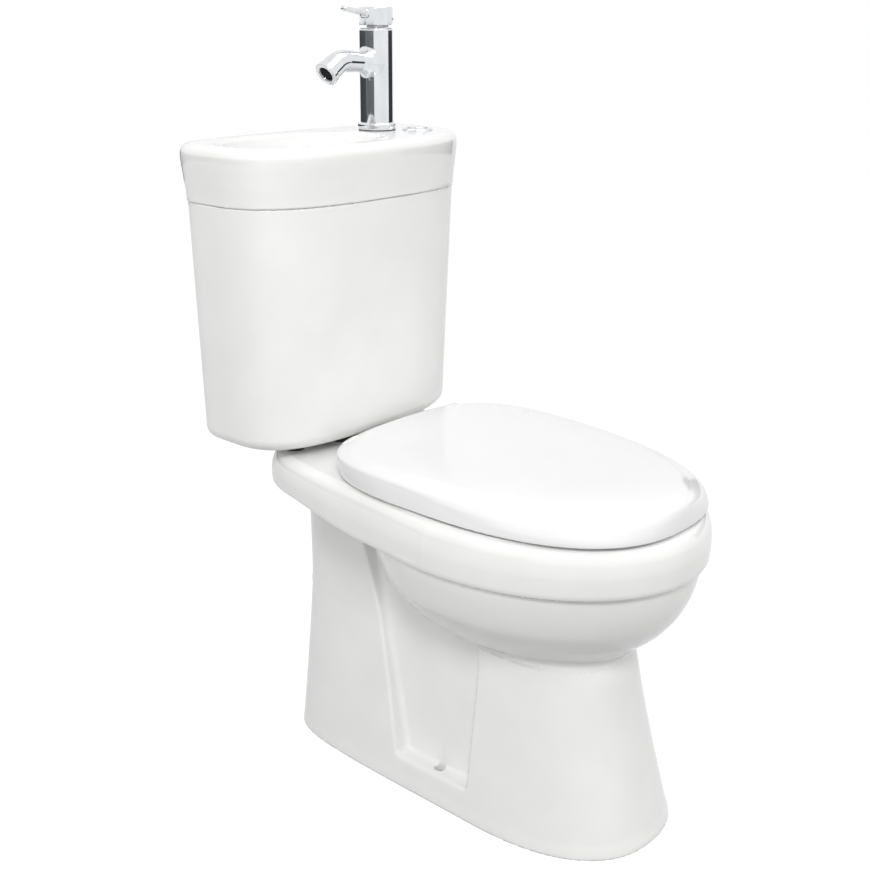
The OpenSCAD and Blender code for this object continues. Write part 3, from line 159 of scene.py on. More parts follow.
def cast(name, field, low, high, step, budget=180000, symmetric=False):
    """A mesh object of a solid given by its distance field, in the box from low to high (mm), with
    points about step apart, at most budget triangles, and shading normals from the field."""
    low, high = np.array(low, float), np.array(high, float)
    axes = [np.arange(low[q], high[q] + step, step, dtype=np.float32) for q in range(3)]
    if symmetric:
        axes[0] = np.arange(0.5, high[0] / step + 1, dtype=np.float32) * np.float32(step)
    slabs = np.array_split(axes[0], 24)

    def sample(part):
        return field(part[:, None, None], axes[1][None, :, None], axes[2][None, None, :]).astype(np.float32)

    with ThreadPoolExecutor(4) as pool:
        v = np.concatenate(list(pool.map(sample, slabs)))
    if symmetric:
        v = np.concatenate([v[::-1], v])
        axes[0] = np.concatenate([-axes[0][::-1], axes[0]])
    if min(v[0].min(), v[-1].min(), v[:, 0].min(), v[:, -1].min(), v[..., 0].min(), v[..., -1].min()) < 0:
        raise ValueError(name + " reaches out of its box")
    points, quads = surface_nets(v, np.array([a[0] for a in axes], float), step)
    mesh = bpy.data.meshes.new(name)
    mesh.from_pydata((points * MM).tolist(), [], quads.tolist())
    obj = bpy.data.objects.new(name, mesh)
    bpy.context.scene.collection.objects.link(obj)
    if 2 * len(quads) > budget:
        thin = obj.modifiers.new("thin", "DECIMATE")
        thin.ratio = budget / (2 * len(quads))
        thin.use_collapse_triangulate = True
        lean = bpy.data.meshes.new_from_object(obj.evaluated_get(bpy.context.evaluated_depsgraph_get()))
        obj.modifiers.clear()
        obj.data = lean
        bpy.data.meshes.remove(mesh)
        mesh = lean
        mesh.name = name
    co = np.empty(len(mesh.vertices) * 3, np.float32)
    mesh.vertices.foreach_get("co", co)
    p = co.reshape(-1, 3).astype(float) / MM
    for _ in range(3):
        f, g = slope(field, p)
        move = np.clip(f / np.maximum((g * g).sum(1), 0.2), -0.6 * step, 0.6 * step)
        p -= move[:, None] * g
    g = slope(field, p)[1]
    mesh.vertices.foreach_set("co", (p * MM).astype(np.float32).ravel())
    mesh.shade_smooth()
    mesh.normals_split_custom_set_from_vertices(g / np.maximum(np.linalg.norm(g, axis=1), 1e-6)[:, None])
    mesh.update()
    return obj


def colour(code):
    """Linear colour of an sRGB hex value."""
    parts = [int(code[k:k + 2], 16) / 255 for k in (1, 3, 5)]
    return [c / 12.92 if c <= 0.04045 else ((c + 0.055) / 1.055) ** 2.4 for c in parts] + [1.0]


def add(tree, kind, inputs=None, **settings):
    """Adds a shader node with its settings, and with values or links on its inputs."""
    node = tree.nodes.new(kind)
    for key, value in settings.items():
        setattr(node, key, value)
    for socket, value in (inputs or {}).items():
        if isinstance(value, bpy.types.NodeSocket):
            tree.links.new(value, node.inputs[socket])
        else:
            node.inputs[socket].default_value = value
    return node


def surface(name, base, shade, patch_mm, bump_mm, relief_mm, shader, stretch=(1, 1, 1)):
    """A material whose colour drifts between base and shade in patches of patch_mm, over a relief
    of bumps bump_mm across and relief_mm high. shader holds the shader's own constant inputs."""
    mat = bpy.data.materials.new(name)
    mat.use_nodes = True
    tree = mat.node_tree
    tree.nodes.clear()
    where = add(tree, "ShaderNodeTexCoord").outputs["Object"]
    where = add(tree, "ShaderNodeMapping", {"Vector": where, "Scale": stretch}).outputs["Vector"]
    patch = add(tree, "ShaderNodeTexNoise", {"Vector": where, "Scale": 1 / (patch_mm * MM), "Detail": 2.0})
    ramp = add(tree, "ShaderNodeValToRGB", {"Fac": patch.outputs["Fac"]})
    ramp.color_ramp.elements[0].position = 0.3
    ramp.color_ramp.elements[0].color = colour(shade)
    ramp.color_ramp.elements[1].position = 0.7
    ramp.color_ramp.elements[1].color = colour(base)
    bumps = add(tree, "ShaderNodeTexNoise", {"Vector": where, "Scale": 1 / (bump_mm * MM), "Detail": 1.0})
    relief = add(tree, "ShaderNodeBump", {"Height": bumps.outputs["Fac"], "Strength": 1.0,
                                          "Distance": relief_mm * MM})
    body = add(tree, "ShaderNodeBsdfPrincipled",
               {"Base Color": ramp.outputs["Color"], "Normal": relief.outputs["Normal"], **shader})
    add(tree, "ShaderNodeOutputMaterial", {"Surface": body.outputs["BSDF"]})
    return mat


# Vitreous china under a clear fired glaze: milk white, with a hard wet gloss whose reflections
# wander a little, because the glaze flows over the body as it melts.
glazed_china = surface("glazed_china", "#f3f3f2", "#efefee", 60, 48, 0.16,
                       {"Roughness": 0.10, "IOR": 1.52, "Coat Weight": 0.35, "Coat Roughness": 0.03})

RIM_Z = 400.0
RIM_W = 176.5
OVERALL_D = 632.0
BAND_H = 57.0
BAND_Z = RIM_Z - BAND_H
CHINA_T = 13.0
RIM_MID = 399.0
DECK_BACK = 69.0
DECK_TAPER = 0.19
DECK_LIFT, LIFT_FROM, LIFT_TO = 12.0, 290.0, 150.0
band_table = smooth_rows([
    [h, RIM_W - i, DECK_BACK + i, RIM_MID, OVERALL_D - i, 6, 2.05, DECK_TAPER]
    for h, i in [(0, 5), (2, 2), (7, 0.5), (24, 0), (40, 2), (49, 5.5), (54, 9.5), (BAND_H, 15)]])
hull_table = smooth_rows([
    [BAND_Z - drop, (RIM_W - 5.5) * share, back, RIM_MID, OVERALL_D - tuck, 2.1, 1.98, 0]
    for drop, share, back, tuck in [
        (125, 0.35, 300, 112), (121, 0.49, 272, 86), (114, 0.567, 262, 76), (99, 0.678, 251, 60),
        (78, 0.795, 242, 38), (52, 0.912, 232, 20.5), (26, 0.965, 221, 11), (12, 0.985, 214, 8.5),
        (-4, 1, 200, 7)]])

FOOT_W, COLUMN_W = 120.0, 86.0
FOOT_BACK, FOOT_MID, FOOT_FRONT = 91.0, 426.0, 607.0
FLARE_Z, FRONT_FLARE, FRONT_TUCK = 210.0, 52.0, 60.0


def foot_row(z):
    k = min(max(z / FLARE_Z, 0), 1)
    up = max(z - FLARE_Z, 0) / (BAND_Z - FLARE_Z)
    flare = 1 - (1 - k) ** 1.15
    return [z, FOOT_W + (COLUMN_W - FOOT_W) * flare + 4 * up ** 3, FOOT_BACK - 2 * k, FOOT_MID,
            FOOT_FRONT - FRONT_FLARE * flare - FRONT_TUCK * up, 6, 2.4, 0]


foot_table = smooth_rows([foot_row(z) for z in range(-20, 381, 20)])

BOWL_TOP = RIM_Z - 44
SUMP_D = 335.0
bowl_table = smooth_rows([
    [BOWL_TOP - drop, w, back, (back + OVERALL_D - tuck) / 2, OVERALL_D - tuck, 2.2, 2.05, 0]
    for drop, w, back, tuck in [
        (118, 60, 272, 222), (106, 86, 262, 150), (94, 98, 252, 118), (76, 120, 242, 84),
        (52, 138, 230, 57), (26, 150, 220, 38), (0, 158, 212, 26)]])
sump_table = smooth_rows([[z, r, SUMP_D - r, SUMP_D, SUMP_D + r, 2, 2, 0]
                          for z, r in [(100, 32), (124, 41), (190, 46), (246, 50)]])
OPENING_W, OPENING_BACK, OPENING_GAP = 116.0, 268.0, 55.0
opening_table = smooth_rows([[z, OPENING_W, OPENING_BACK, RIM_MID + 20, OVERALL_D - OPENING_GAP, 2.4, 2.1, 0]
                             for z in (340, 370, 410)])
channel_table = smooth_rows([[z, RIM_W - 18, 235, RIM_MID, OVERALL_D - 24, 2.3, 2.05, 0]
                             for z in (340, 370, 410)])

OUTLET_Z, OUTLET_R, OUTLET_BORE_R = 190.0, 51.0, 40.0
TRAP_T, TRAP_END, WEIR_Z = 10.0, 118.0, 205.0
trap_path = [(SUMP_D, 130, 32), (SUMP_D - 2, 112, 30), (SUMP_D - 14, 97, 28), (SUMP_D - 34, 92, 28),
             (SUMP_D - 54, 102, 28), (SUMP_D - 74, 128, 28), (SUMP_D - 92, 160, 28),
             (SUMP_D - 110, 188, 28), (SUMP_D - 132, WEIR_Z, 28), (SUMP_D - 160, WEIR_Z + 1, 30),
             (SUMP_D - 190, OUTLET_Z + 8, 34), (TRAP_END + 5, OUTLET_Z, 38), (TRAP_END, OUTLET_Z, 38)]


def trap(x, d, z):
    """Distance to the trapway, a round passage along its path."""
    best = 1e6
    for (d0, z0, r0), (d1, z1, r1) in zip(trap_path, trap_path[1:]):
        ux, uz = d1 - d0, z1 - z0
        t = np.clip(((d - d0) * ux + (z - z0) * uz) / (ux * ux + uz * uz), 0, 1)
        away = np.sqrt(x * x + (d - d0 - t * ux) ** 2 + (z - z0 - t * uz) ** 2) - (r0 + (r1 - r0) * t)
        best = np.minimum(best, away)
    return best


LEDGE_Z, FLOOR_BOLT_D, FLOOR_BOLT_X, FLOOR_HOLE_R = 38.0, 358.0, 97.0, 6.5
FLUSH_D, FLUSH_WAY_R = 115.0, 31.0
CISTERN_BOLT_X, CISTERN_HOLE_R = 102.0, 6.0
SEAT_STUD_X, SEAT_STUD_D, SEAT_HOLE_R = 77.5, 210.0, 8.0
SUMP_TOP, HOLLOW_TOP, BACK_HALF_W, BACK_END, BACK_Z = 250.0, 178.0, 58.0, 177.0, 123.0
POCKET_TOP, POCKET_OUT = BAND_Z + 2, FOOT_W + 60


def side_pocket(x, d, z):
    """The pocket in each side, between the foot's rear and front, over the floor bolt's ledge."""
    side = np.abs(x)
    k = (z - LEDGE_Z) / (POCKET_TOP - LEDGE_Z)
    inner = 92 - 34 * k
    depth = (POCKET_OUT - side) / (POCKET_OUT - inner)
    rear = (FLOOR_BOLT_D - 64 - 110 * k + (6 + 14 * k) * depth - d) / 1.08
    front = d - (FLOOR_BOLT_D + 59 - 9 * k - 6 * depth)
    walls = meet(meet(rear, front), (inner - side) / 1.01, 7)
    return meet(meet(walls, LEDGE_Z - z, 5), z - POCKET_TOP)


def pan_solid(x, y, z):
    d = WALL_Y - y
    k = np.clip((LIFT_FROM - d) / (LIFT_FROM - LIFT_TO), 0, 1)
    lift = DECK_LIFT * k * k * (3 - 2 * k)
    h = (z - BAND_Z - lift) / (1 - lift / BAND_H)
    band = meet(meet(loft(x, d, h, band_table), z - RIM_Z, 3.0), -h, 1.5)
    hull = meet(meet(loft(x, d, z, hull_table), BAND_Z - 125 - z, 5), z - BAND_Z - 4)
    column = meet(loft(x, d, z, foot_table), z - BAND_Z - 18)
    pocket = side_pocket(x, d, z)
    shell = join(join(cut(meet(column, -z, 2.0), pocket, 4), hull, 6), band, 5)
    hollow = meet(cut(column + CHINA_T, pocket - CHINA_T, 8), z - HOLLOW_TOP, 10)
    back = meet(meet(np.abs(x) - BACK_HALF_W, d - BACK_END),
                np.abs(z - (BACK_Z + BAND_Z) / 2) - (BAND_Z - BACK_Z) / 2, 10)
    way = trap(x, d, z)
    sump = meet(loft(x, d, z, sump_table), 100 - z)
    bowl = meet(loft(x, d, z, bowl_table), z - BOWL_TOP)
    tubes = join(way - TRAP_T, meet(sump - TRAP_T, z - SUMP_TOP), 8)
    spigot = meet(np.hypot(x, z - OUTLET_Z) - OUTLET_R, np.abs(d - 105) - 23, 2)
    body = join(cut(cut(shell, hollow, 4), back, 6), join(tubes, spigot), 4)
    opening = meet(loft(x, d, z, opening_table), BOWL_TOP - 3 - z)
    box_rim = cut(loft(x, d, z, channel_table), opening - 12)
    box_rim = meet(meet(box_rim, z - (RIM_Z - 16), 5), BOWL_TOP - 3 - z)
    water = join(join(bowl, meet(sump, z - SUMP_TOP), 10), way, 5)
    body = cut(cut(body, water, 3), box_rim, 2)
    body = cut(body, opening, 7)
    body = cut(body, meet(np.hypot(x, z - OUTLET_Z) - OUTLET_BORE_R, d - 128), 2)
    side = np.abs(x)
    for at_x, at_d, r, floor in ((0, FLUSH_D, FLUSH_WAY_R, 364),
                                 (CISTERN_BOLT_X, FLUSH_D, CISTERN_HOLE_R, 340),
                                 (SEAT_STUD_X, SEAT_STUD_D, SEAT_HOLE_R, 354)):
        body = cut(body, meet(upright(side, d, at_x, at_d, r), floor - z), 1)
    return cut(body, meet(upright(side, d, FLOOR_BOLT_X, FLOOR_BOLT_D, FLOOR_HOLE_R), z - 60), 2)


pan = cast("pan_china", pan_solid, (-181, -321, -4), (181, 252, 404), 2.9, 190000, symmetric=True)
pan.data.materials.append(glazed_china)
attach(pan, "root")
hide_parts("pan")


# ---- Cistern -------------------------------------------------------------------------------
# The cistern is a slip-cast china tank, open at its top, that draws in towards its floor. It
# stands on a rubber washer and is bolted down to the pan's deck.

CISTERN_Z, CISTERN_H, CISTERN_T, CISTERN_FLOOR_T = 411.0, 298.0, 9.0, 12.0
CISTERN_MID = 73.0
cistern_table = smooth_rows([
    [CISTERN_Z + h, 174.5 + 9 * k, 4, CISTERN_MID, 170 + 11 * k, 5, 2.875, 0]
    for k in (-0.1, 0, 0.5, 1, 1.1) for h in (CISTERN_H * k,)])
FLUSH_HOLE_R = 25.3
FILL_X, FILL_D, FILL_HOLE_R = -85.0, 48.0, 11.4


def cistern_solid(x, y, z):
    d = WALL_Y - y
    wall = loft(x, d, z, cistern_table)
    outside = meet(meet(wall, CISTERN_Z - z, 16), z - CISTERN_Z - CISTERN_H, 1.5)
    inside = meet(wall + CISTERN_T, CISTERN_Z + CISTERN_FLOOR_T - z, 12)
    body = cut(outside, inside, 1.5)
    for at_x, at_d, r in ((0, FLUSH_D, FLUSH_HOLE_R), (CISTERN_BOLT_X, FLUSH_D, CISTERN_HOLE_R),
                          (-CISTERN_BOLT_X, FLUSH_D, CISTERN_HOLE_R), (FILL_X, FILL_D, FILL_HOLE_R)):
        body = cut(body, meet(upright(x, d, at_x, at_d, r), z - CISTERN_Z - 30), 1)
    return body


cistern = cast("cistern_china", cistern_solid, (-188, 130, 407), (188, 317, 713), 3.0, 120000)
cistern.data.materials.append(glazed_china)
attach(cistern, "root")
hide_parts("cistern")


# ---- Basin lid -----------------------------------------------------------------------------
# The cistern's lid is a hand basin, cast in one piece of china with a soft top edge, a hollow
# underside and a lip that keeps it in place on the tank.

LID_Z, LID_H, LID_T, LID_EDGE = 709.0, 68.0, 10.0, 13.0
LID_TOP = LID_Z + LID_H
lid_table = smooth_rows([
    [LID_Z + h, 184.5 + 5 * k, 3 * (1 - k), CISTERN_MID, 182 + 4 * k, 5, 2.875, 0]
    for h, k in ((-10, 0), (0, 0), (28, 0.5), (55, 1), (80, 1))])
BASIN_X, BASIN_D, BASIN_A, BASIN_B, BASIN_DEPTH = -57.0, 95.0, 107.0, 66.0, 62.0
basin_table = smooth_rows([
    [LID_TOP - drop, BASIN_A - i, BASIN_D - BASIN_B + i, BASIN_D, BASIN_D + BASIN_B - i, 2.5, 2.5, 0]
    for drop, i in [(-6, -2), (0, -1), (8, 0), (28, 4), (42, 9), (54, 16), (60, 24), (62, 31)]])
basin_wall_table = smooth_rows([
    [LID_TOP - drop, BASIN_A - i, BASIN_D - BASIN_B + i, BASIN_D, BASIN_D + BASIN_B - i, 2.5, 2.5, 0]
    for drop, i in [(0, -10), (10, -9), (32, -5), (48, 1), (60, 8), (67, 16), (71, 28)]])
TAP_X, TAP_D, TAP_HOLE_R = 93.5, 75.0, 17.5
BUTTON_X, BUTTON_D, BUTTON_HOLE_R = 126.0, 116.0, 16.0
WASTE_HOLE_R = 21.5


def basin_lid_solid(x, y, z):
    d = WALL_Y - y
    wall = loft(x, d, z, lid_table)
    outside = meet(meet(wall, z - LID_TOP, LID_EDGE), LID_Z - z, 1.5)
    inside = meet(wall + np.where(z < LID_Z + 8, 15.5, LID_T + 5.5 * np.clip((LID_Z + 14 - z) / 6, 0, 1)),
                  z - LID_TOP + LID_T, 8)
    basin = meet(loft(x - BASIN_X, d, z, basin_table), LID_TOP - BASIN_DEPTH - z)
    body = cut(outside, inside, 2)
    tank = loft(x, d, np.full_like(z, LID_Z), cistern_table)
    lip = meet(meet(tank + 11.5, -(tank + 16.5)), np.abs(z - LID_Z + 2.5) - 4.5)
    body = join(body, lip, 1)
    basin_wall = meet(loft(x - BASIN_X, d, z, basin_wall_table), np.abs(z - LID_TOP + 37.5) - 33.5)
    body = join(body, basin_wall, 4)
    body = cut(body, basin, 7)
    for at_x, at_d, r in ((TAP_X, TAP_D, TAP_HOLE_R), (BUTTON_X, BUTTON_D, BUTTON_HOLE_R),
                          (BASIN_X, BASIN_D, WASTE_HOLE_R)):
        body = cut(body, upright(x, d, at_x, at_d, r), 1)
    return body


basin_lid = cast("basin_lid_china", basin_lid_solid, (-194, 126, 699), (194, 320, 781), 2.3, 180000)
basin_lid.data.materials.append(glazed_china)
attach(basin_lid, "root")
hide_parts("basin_lid")


# ---- Seat ring and its hinge barrels --------------------------------------------------------
# The ring is pressed from white urea, a hard glossy plastic, and turns on two steel pins. It
# stands on four buffers and nests inside the seat lid when that is shut.

# Urea pressed in polished steel moulds: a plain, cooler white than the china, almost as glossy.
pressed_urea = surface("pressed_urea", "#eeeeee", "#ebebeb", 80, 70, 0.10,
                       {"Roughness": 0.14, "IOR": 1.50, "Coat Weight": 0.25, "Coat Roughness": 0.05})

SEAT_W, SEAT_BACK, SEAT_MID, SEAT_FRONT = 160.0, 186.5, 379.0, 619.5
SEAT_H, SEAT_GAP, SEAT_T = 39.0, 2.5, 5.0
HINGE_D, HINGE_Z, KNUCKLE_R, PIN_R = 204.0, 419.0, 8.0, 3.0
POST_X, POST_W = 68.5, 18.0
RING_BARREL = (28.2, 68.2)
LID_BARREL = (86.8, 101.8)
RING_Z, RING_T, RING_BACK, RING_TUCK = 404.0, 17.0, 19.0, 18.0
PIN_GAP, DAMPER_HOLE_R = 0.05, 5.55


def seat_row(h, inset, lean, tuck=0):
    """The seat's outline at height h over the rim: it draws together towards the crown."""
    return [RIM_Z + h, SEAT_W - inset, SEAT_BACK + inset + tuck, SEAT_MID - 50 * lean, SEAT_FRONT - inset,
            3.2 + 1.5 * lean - 1.8 * lean ** 2, 2.47 - 0.5 * lean, 0]


ring_table = smooth_rows([seat_row(h, 7.2 + i, lean, RING_TUCK)
                          for h, i, lean in [(2, 0, 0), (5.5, 0, 0.02), (17, 0.5, 0.23), (24, 2, 0.28)]])
ring_opening_table = smooth_rows([[RING_Z + h, 108 + i, 264 - i, 400, SEAT_FRONT - 71 + i, 2.3, 2.1, 0]
                                  for h, i in [(-3, 0), (4, 0), (11, 2), (15, 5), (19, 8)]])


def bar(x, d, z, span, r):
    """A round bar on the hinge axis, from span[0] to span[1] on both sides."""
    middle, half = (span[0] + span[1]) / 2, (span[1] - span[0]) / 2
    return meet(np.hypot(d - HINGE_D, z - HINGE_Z) - r, np.abs(np.abs(x) - middle) - half, 0.6)


def seat_ring_solid(x, y, z):
    d = WALL_Y - y
    plate = meet(meet(loft(x, d, z, ring_table), z - RING_Z - RING_T, 7), RING_Z - z, 2)
    hole = loft(x, d, z, ring_opening_table)
    plate = cut(plate, hole, 5)
    plate = meet(plate, HINGE_D + RING_BACK - d, 3)
    middle, half = sum(RING_BARREL) / 2, (RING_BARREL[1] - RING_BARREL[0]) / 2
    arm = meet(meet(np.abs(np.abs(x) - middle) - half, np.abs(d - HINGE_D - 12.5) - 12.5),
               np.abs(z - HINGE_Z + 3) - 5, 1)
    body = join(join(plate, arm, 2), bar(x, d, z, RING_BARREL, KNUCKLE_R), 1.5)
    body = cut(body, bar(x, d, z, (45.2, 70), PIN_R + PIN_GAP))
    return cut(body, bar(x, d, z, (27, 53.2), DAMPER_HOLE_R))


seat_ring = cast("seat_ring_urea", seat_ring_solid, (-156, -300, 401), (156, 124, 430), 2.0, 110000,
                 symmetric=True)
seat_ring.data.materials.append(pressed_urea)
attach(seat_ring, "seat_ring")
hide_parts("seat_ring")


# ---- Seat lid ------------------------------------------------------------------------------
# A domed shell pressed from the same urea, 5 mm thick, with a tall side that covers the ring.
# Its rear edge is rounded about the hinge, with a notch for each hinge post.

lid_wall_table = smooth_rows([seat_row(h, i, lean)
                              for h, i, lean in [(-2, 0.6, 0), (3.7, 0, 0), (18, 1.5, 0.25), (26, 3.5, 0.6),
                                                 (30, 6, 0.85), (33, 9, 1), (45, 24, 1)]])
crown_table = smooth_rows([seat_row(h, 0, 1) for h in (0, 20, 45)])
CROWN_FALL, CROWN_REACH, REAR_R, NOTCH_GAP = 6.8, 92.0, 18.4, 0.3


def seat_lid_solid(x, y, z):
    d = WALL_Y - y
    wall = loft(x, d, z, lid_wall_table)
    inward = np.clip(-loft(x, d, z, crown_table), 0, CROWN_REACH) / CROWN_REACH
    crown = z - (RIM_Z + SEAT_H - CROWN_FALL * (1 - inward) ** 3.1)
    outside = meet(meet(wall, crown, 7), RIM_Z + SEAT_GAP - z, 1.2)
    inside = meet(meet(wall + SEAT_T, crown + 6.5, 7), RIM_Z - z)
    body = cut(outside, inside, 1.2)
    spread, reach = np.abs(x), np.hypot(d - HINGE_D, z - HINGE_Z)
    middle, half = sum(LID_BARREL) / 2, (LID_BARREL[1] - LID_BARREL[0]) / 2
    arm = meet(meet(np.abs(spread - middle) - half, np.abs(d - HINGE_D) - KNUCKLE_R),
               np.abs(z - HINGE_Z - 8) - 8, 1)
    body = join(body, meet(join(bar(x, d, z, LID_BARREL, KNUCKLE_R), arm), wall), 2)
    turned = meet(meet(d - HINGE_D, z - HINGE_Z), REAR_R - reach)
    body = cut(body, turned, 1.5)
    notch = meet(meet(np.abs(spread - POST_X - POST_W / 2) - POST_W / 2 - NOTCH_GAP, d - HINGE_D + 9),
                 z - HINGE_Z - 5.5, 1)
    body = cut(body, notch, 0.8)
    room = meet(reach - 9, np.abs(spread - 57) - 29.8)
    return cut(cut(body, room, 0.5), bar(x, d, z, (86, 103), PIN_R + PIN_GAP))


seat_lid = cast("seat_lid_urea", seat_lid_solid, (-164, -308, 399), (164, 134, 443), 1.9, 170000,
                symmetric=True)
seat_lid.data.materials.append(pressed_urea)
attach(seat_lid, "seat_lid")
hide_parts("seat_lid")


# ---- Tap body, spout and outlet --------------------------------------------------------------
# The tap is cast and turned brass, polished and chrome plated: an upright body with a spout
# that swells into a bend, a turned ring at its foot, and an aerator screwed into the outlet.

# Chrome plate over polished brass: a dark mirror, with faint lines left by the polishing mops.
chrome_plate = surface("chrome_plate", "#e8eaec", "#dde0e3", 12, 3.0, 0.004,
                       {"Metallic": 1.0, "Roughness": 0.05}, stretch=(1, 1, 0.2))

TAP_R, TAP_H = 21.25, 124.0
SPOUT_Z, SPOUT_RISE, SPOUT_TURN, SPOUT_RUN, BEND_R = LID_TOP + 82.5, 4.0, 38.0, 57.0, 26.0
SPOUT_END_R, SPOUT_END_H, SPOUT_BORE_R, BEND_TUBE_R = 14.0, 18.0, 10.0, 13.7
TAP_BORE_R, TAIL_R = 18.75, 16.0
spout_radii = ([0, 14, 25, 33, 57, 62], [17.8, 17.8, 13.8, 12.25, 13.7, 13.7])


def tap_local(x, y, z):
    """Distance along the spout, height over its axis and sideways, from the tap's axis."""
    rise = math.radians(SPOUT_RISE)
    px, pz = x - TAP_X, z - SPOUT_Z
    return (-px * math.cos(rise) + pz * math.sin(rise), px * math.sin(rise) + pz * math.cos(rise),
            y - (WALL_Y - TAP_D))


def past_bend(s, n):
    """The same along the straight end behind the bend."""
    turn = math.radians(SPOUT_TURN)
    ds, dn = s - SPOUT_RUN - BEND_R * math.sin(turn), n + BEND_R - BEND_R * math.cos(turn)
    return ds * math.cos(turn) - dn * math.sin(turn), ds * math.sin(turn) + dn * math.cos(turn)


def tap_body_solid(x, y, z):
    s, n, b = tap_local(x, y, z)
    out = np.hypot(x - TAP_X, b)
    body = meet(out - TAP_R, np.abs(z - LID_TOP - 1 - (TAP_H - 1) / 2) - (TAP_H - 1) / 2, 1.0)
    straight = meet(np.hypot(n, b) - np.interp(s, *spout_radii), 10 - s)
    around = np.hypot(s - SPOUT_RUN, n + BEND_R)
    bend = np.hypot(around - BEND_R, b) - BEND_TUBE_R
    s2, n2 = past_bend(s, n)
    end = meet(np.hypot(n2, b) - SPOUT_END_R, s2 - SPOUT_END_H, 0.6)
    spout = np.where(s < SPOUT_RUN, straight, np.where(s2 < 0, bend, end))
    solid = join(body, spout, 4)
    solid = cut(solid, meet(np.hypot(n2, b) - SPOUT_BORE_R, 4 - s2), 0.6)
    solid = cut(solid, meet(out - TAP_BORE_R, LID_TOP + TAP_H - 10 - z), 0.4)
    return join(solid, meet(out - TAIL_R, np.abs(z - LID_TOP + 17) - 19, 0.5))


tap_body = cast("tap_body_chrome", tap_body_solid, (-6, 214, 739), (120, 268, 904), 1.05, 150000)
tap_body.data.materials.append(chrome_plate)
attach(tap_body, "root")
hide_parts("tap_body")


def turned_piece(name, profile, centre, material, body, node, segments=128, sharp=35):
    """A lathe-turned piece: profile is its closed section as (radius, height) in mm, going round
    counter-clockwise, and centre is the foot of its upright axis."""
    rings = [(max(r, 0.0), z) for r, z in profile]
    verts, faces, place = [], [], []
    for r, z in rings:
        if r < 1e-6:
            place.append([len(verts)] * segments)
            verts.append((centre[0], centre[1], centre[2] + z))
            continue
        place.append(list(range(len(verts), len(verts) + segments)))
        verts += [(centre[0] + r * math.cos(2 * math.pi * k / segments),
                   centre[1] + r * math.sin(2 * math.pi * k / segments), centre[2] + z)
                  for k in range(segments)]
    for a, b in zip(place, place[1:] + place[:1]):
        for k in range(segments):
            q = (k + 1) % segments
            ring = list(dict.fromkeys((a[k], a[q], b[q], b[k])))
            if len(ring) > 2:
                faces.append(ring)
    mesh = bpy.data.meshes.new(name)
    mesh.from_pydata([tuple(c * MM for c in v) for v in verts], [], faces)
    mesh.shade_smooth()
    mesh.set_sharp_from_angle(angle=math.radians(sharp))
    mesh.materials.append(material)
    obj = bpy.data.objects.new(name, mesh)
    bpy.context.scene.collection.objects.link(obj)
    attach(obj, body)
    if node:
        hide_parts(node)
    return obj


def eased(points, r, steps=5):
    """A closed section whose corners are rounded with radius r, or less on short sides."""
    out = []
    for k, p in enumerate(points):
        a, b = Vector(points[k - 1]), Vector(points[(k + 1) % len(points)])
        p = Vector(p)
        u, v = (a - p), (b - p)
        if p[0] < 1e-6 or u.length < 1e-6 or v.length < 1e-6:
            out.append(tuple(p))
            continue
        c = min(r, 0.45 * u.length, 0.45 * v.length)
        u, v = u.normalized() * c, v.normalized() * c
        out += [tuple(p + u * (1 - t) ** 2 + v * t * t) for t in [q / steps for q in range(steps + 1)]]
    return out


tap_foot = (TAP_X, WALL_Y - TAP_D, LID_TOP)
turned_piece("tap_base_ring_chrome",
             eased([(21.3, 1), (24.65, 1), (24.65, 7.6), (23.2, 9.6), (21.3, 9.6)], 0.7),
             tap_foot, chrome_plate, "root", "tap_base_ring")
turned_piece("tap_trim_ring_chrome", eased([(13.8, 114), (18.6, 114), (18.6, 124.05), (20.25, 124.05),
                                            (20.25, 125.2), (13.8, 125.2)], 0.3),
             tap_foot, chrome_plate, "root", "cartridge_nut")


def outlet_ring_solid(x, y, z):
    s, n, b = tap_local(x, y, z)
    s2, n2 = past_bend(s, n)
    r = np.hypot(n2, b)
    ring = meet(r - 15.5, np.abs(s2 - 15.75) - 3.75, 1.1)
    return cut(cut(ring, meet(r - 14.05, s2 - 18)), r - 10.2, 0.5)


outlet_ring = cast("outlet_ring_chrome", outlet_ring_solid, (-14, 222, 824), (36, 260, 874), 0.6, 30000)
outlet_ring.data.materials.append(chrome_plate)
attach(outlet_ring, "root")
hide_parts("outlet_ring")


# ---- Aerator -------------------------------------------------------------------------------
# The aerator is a dark acetal insert with a square grid of thin bars in its mouth, which breaks
# the water into drops. The bars repeat, so a node tree sets them out.

# Acetal, moulded: near black, with a low satin sheen.
dark_acetal = surface("dark_acetal", "#232427", "#1b1c1e", 6, 1.5, 0.02, {"Roughness": 0.42, "IOR": 1.48})

AERATOR_R, BAR_COUNT, BAR_PITCH, BAR_W, BAR_L, BAR_H = 9.9, 7, 2.4, 0.7, 13.6, 1.6


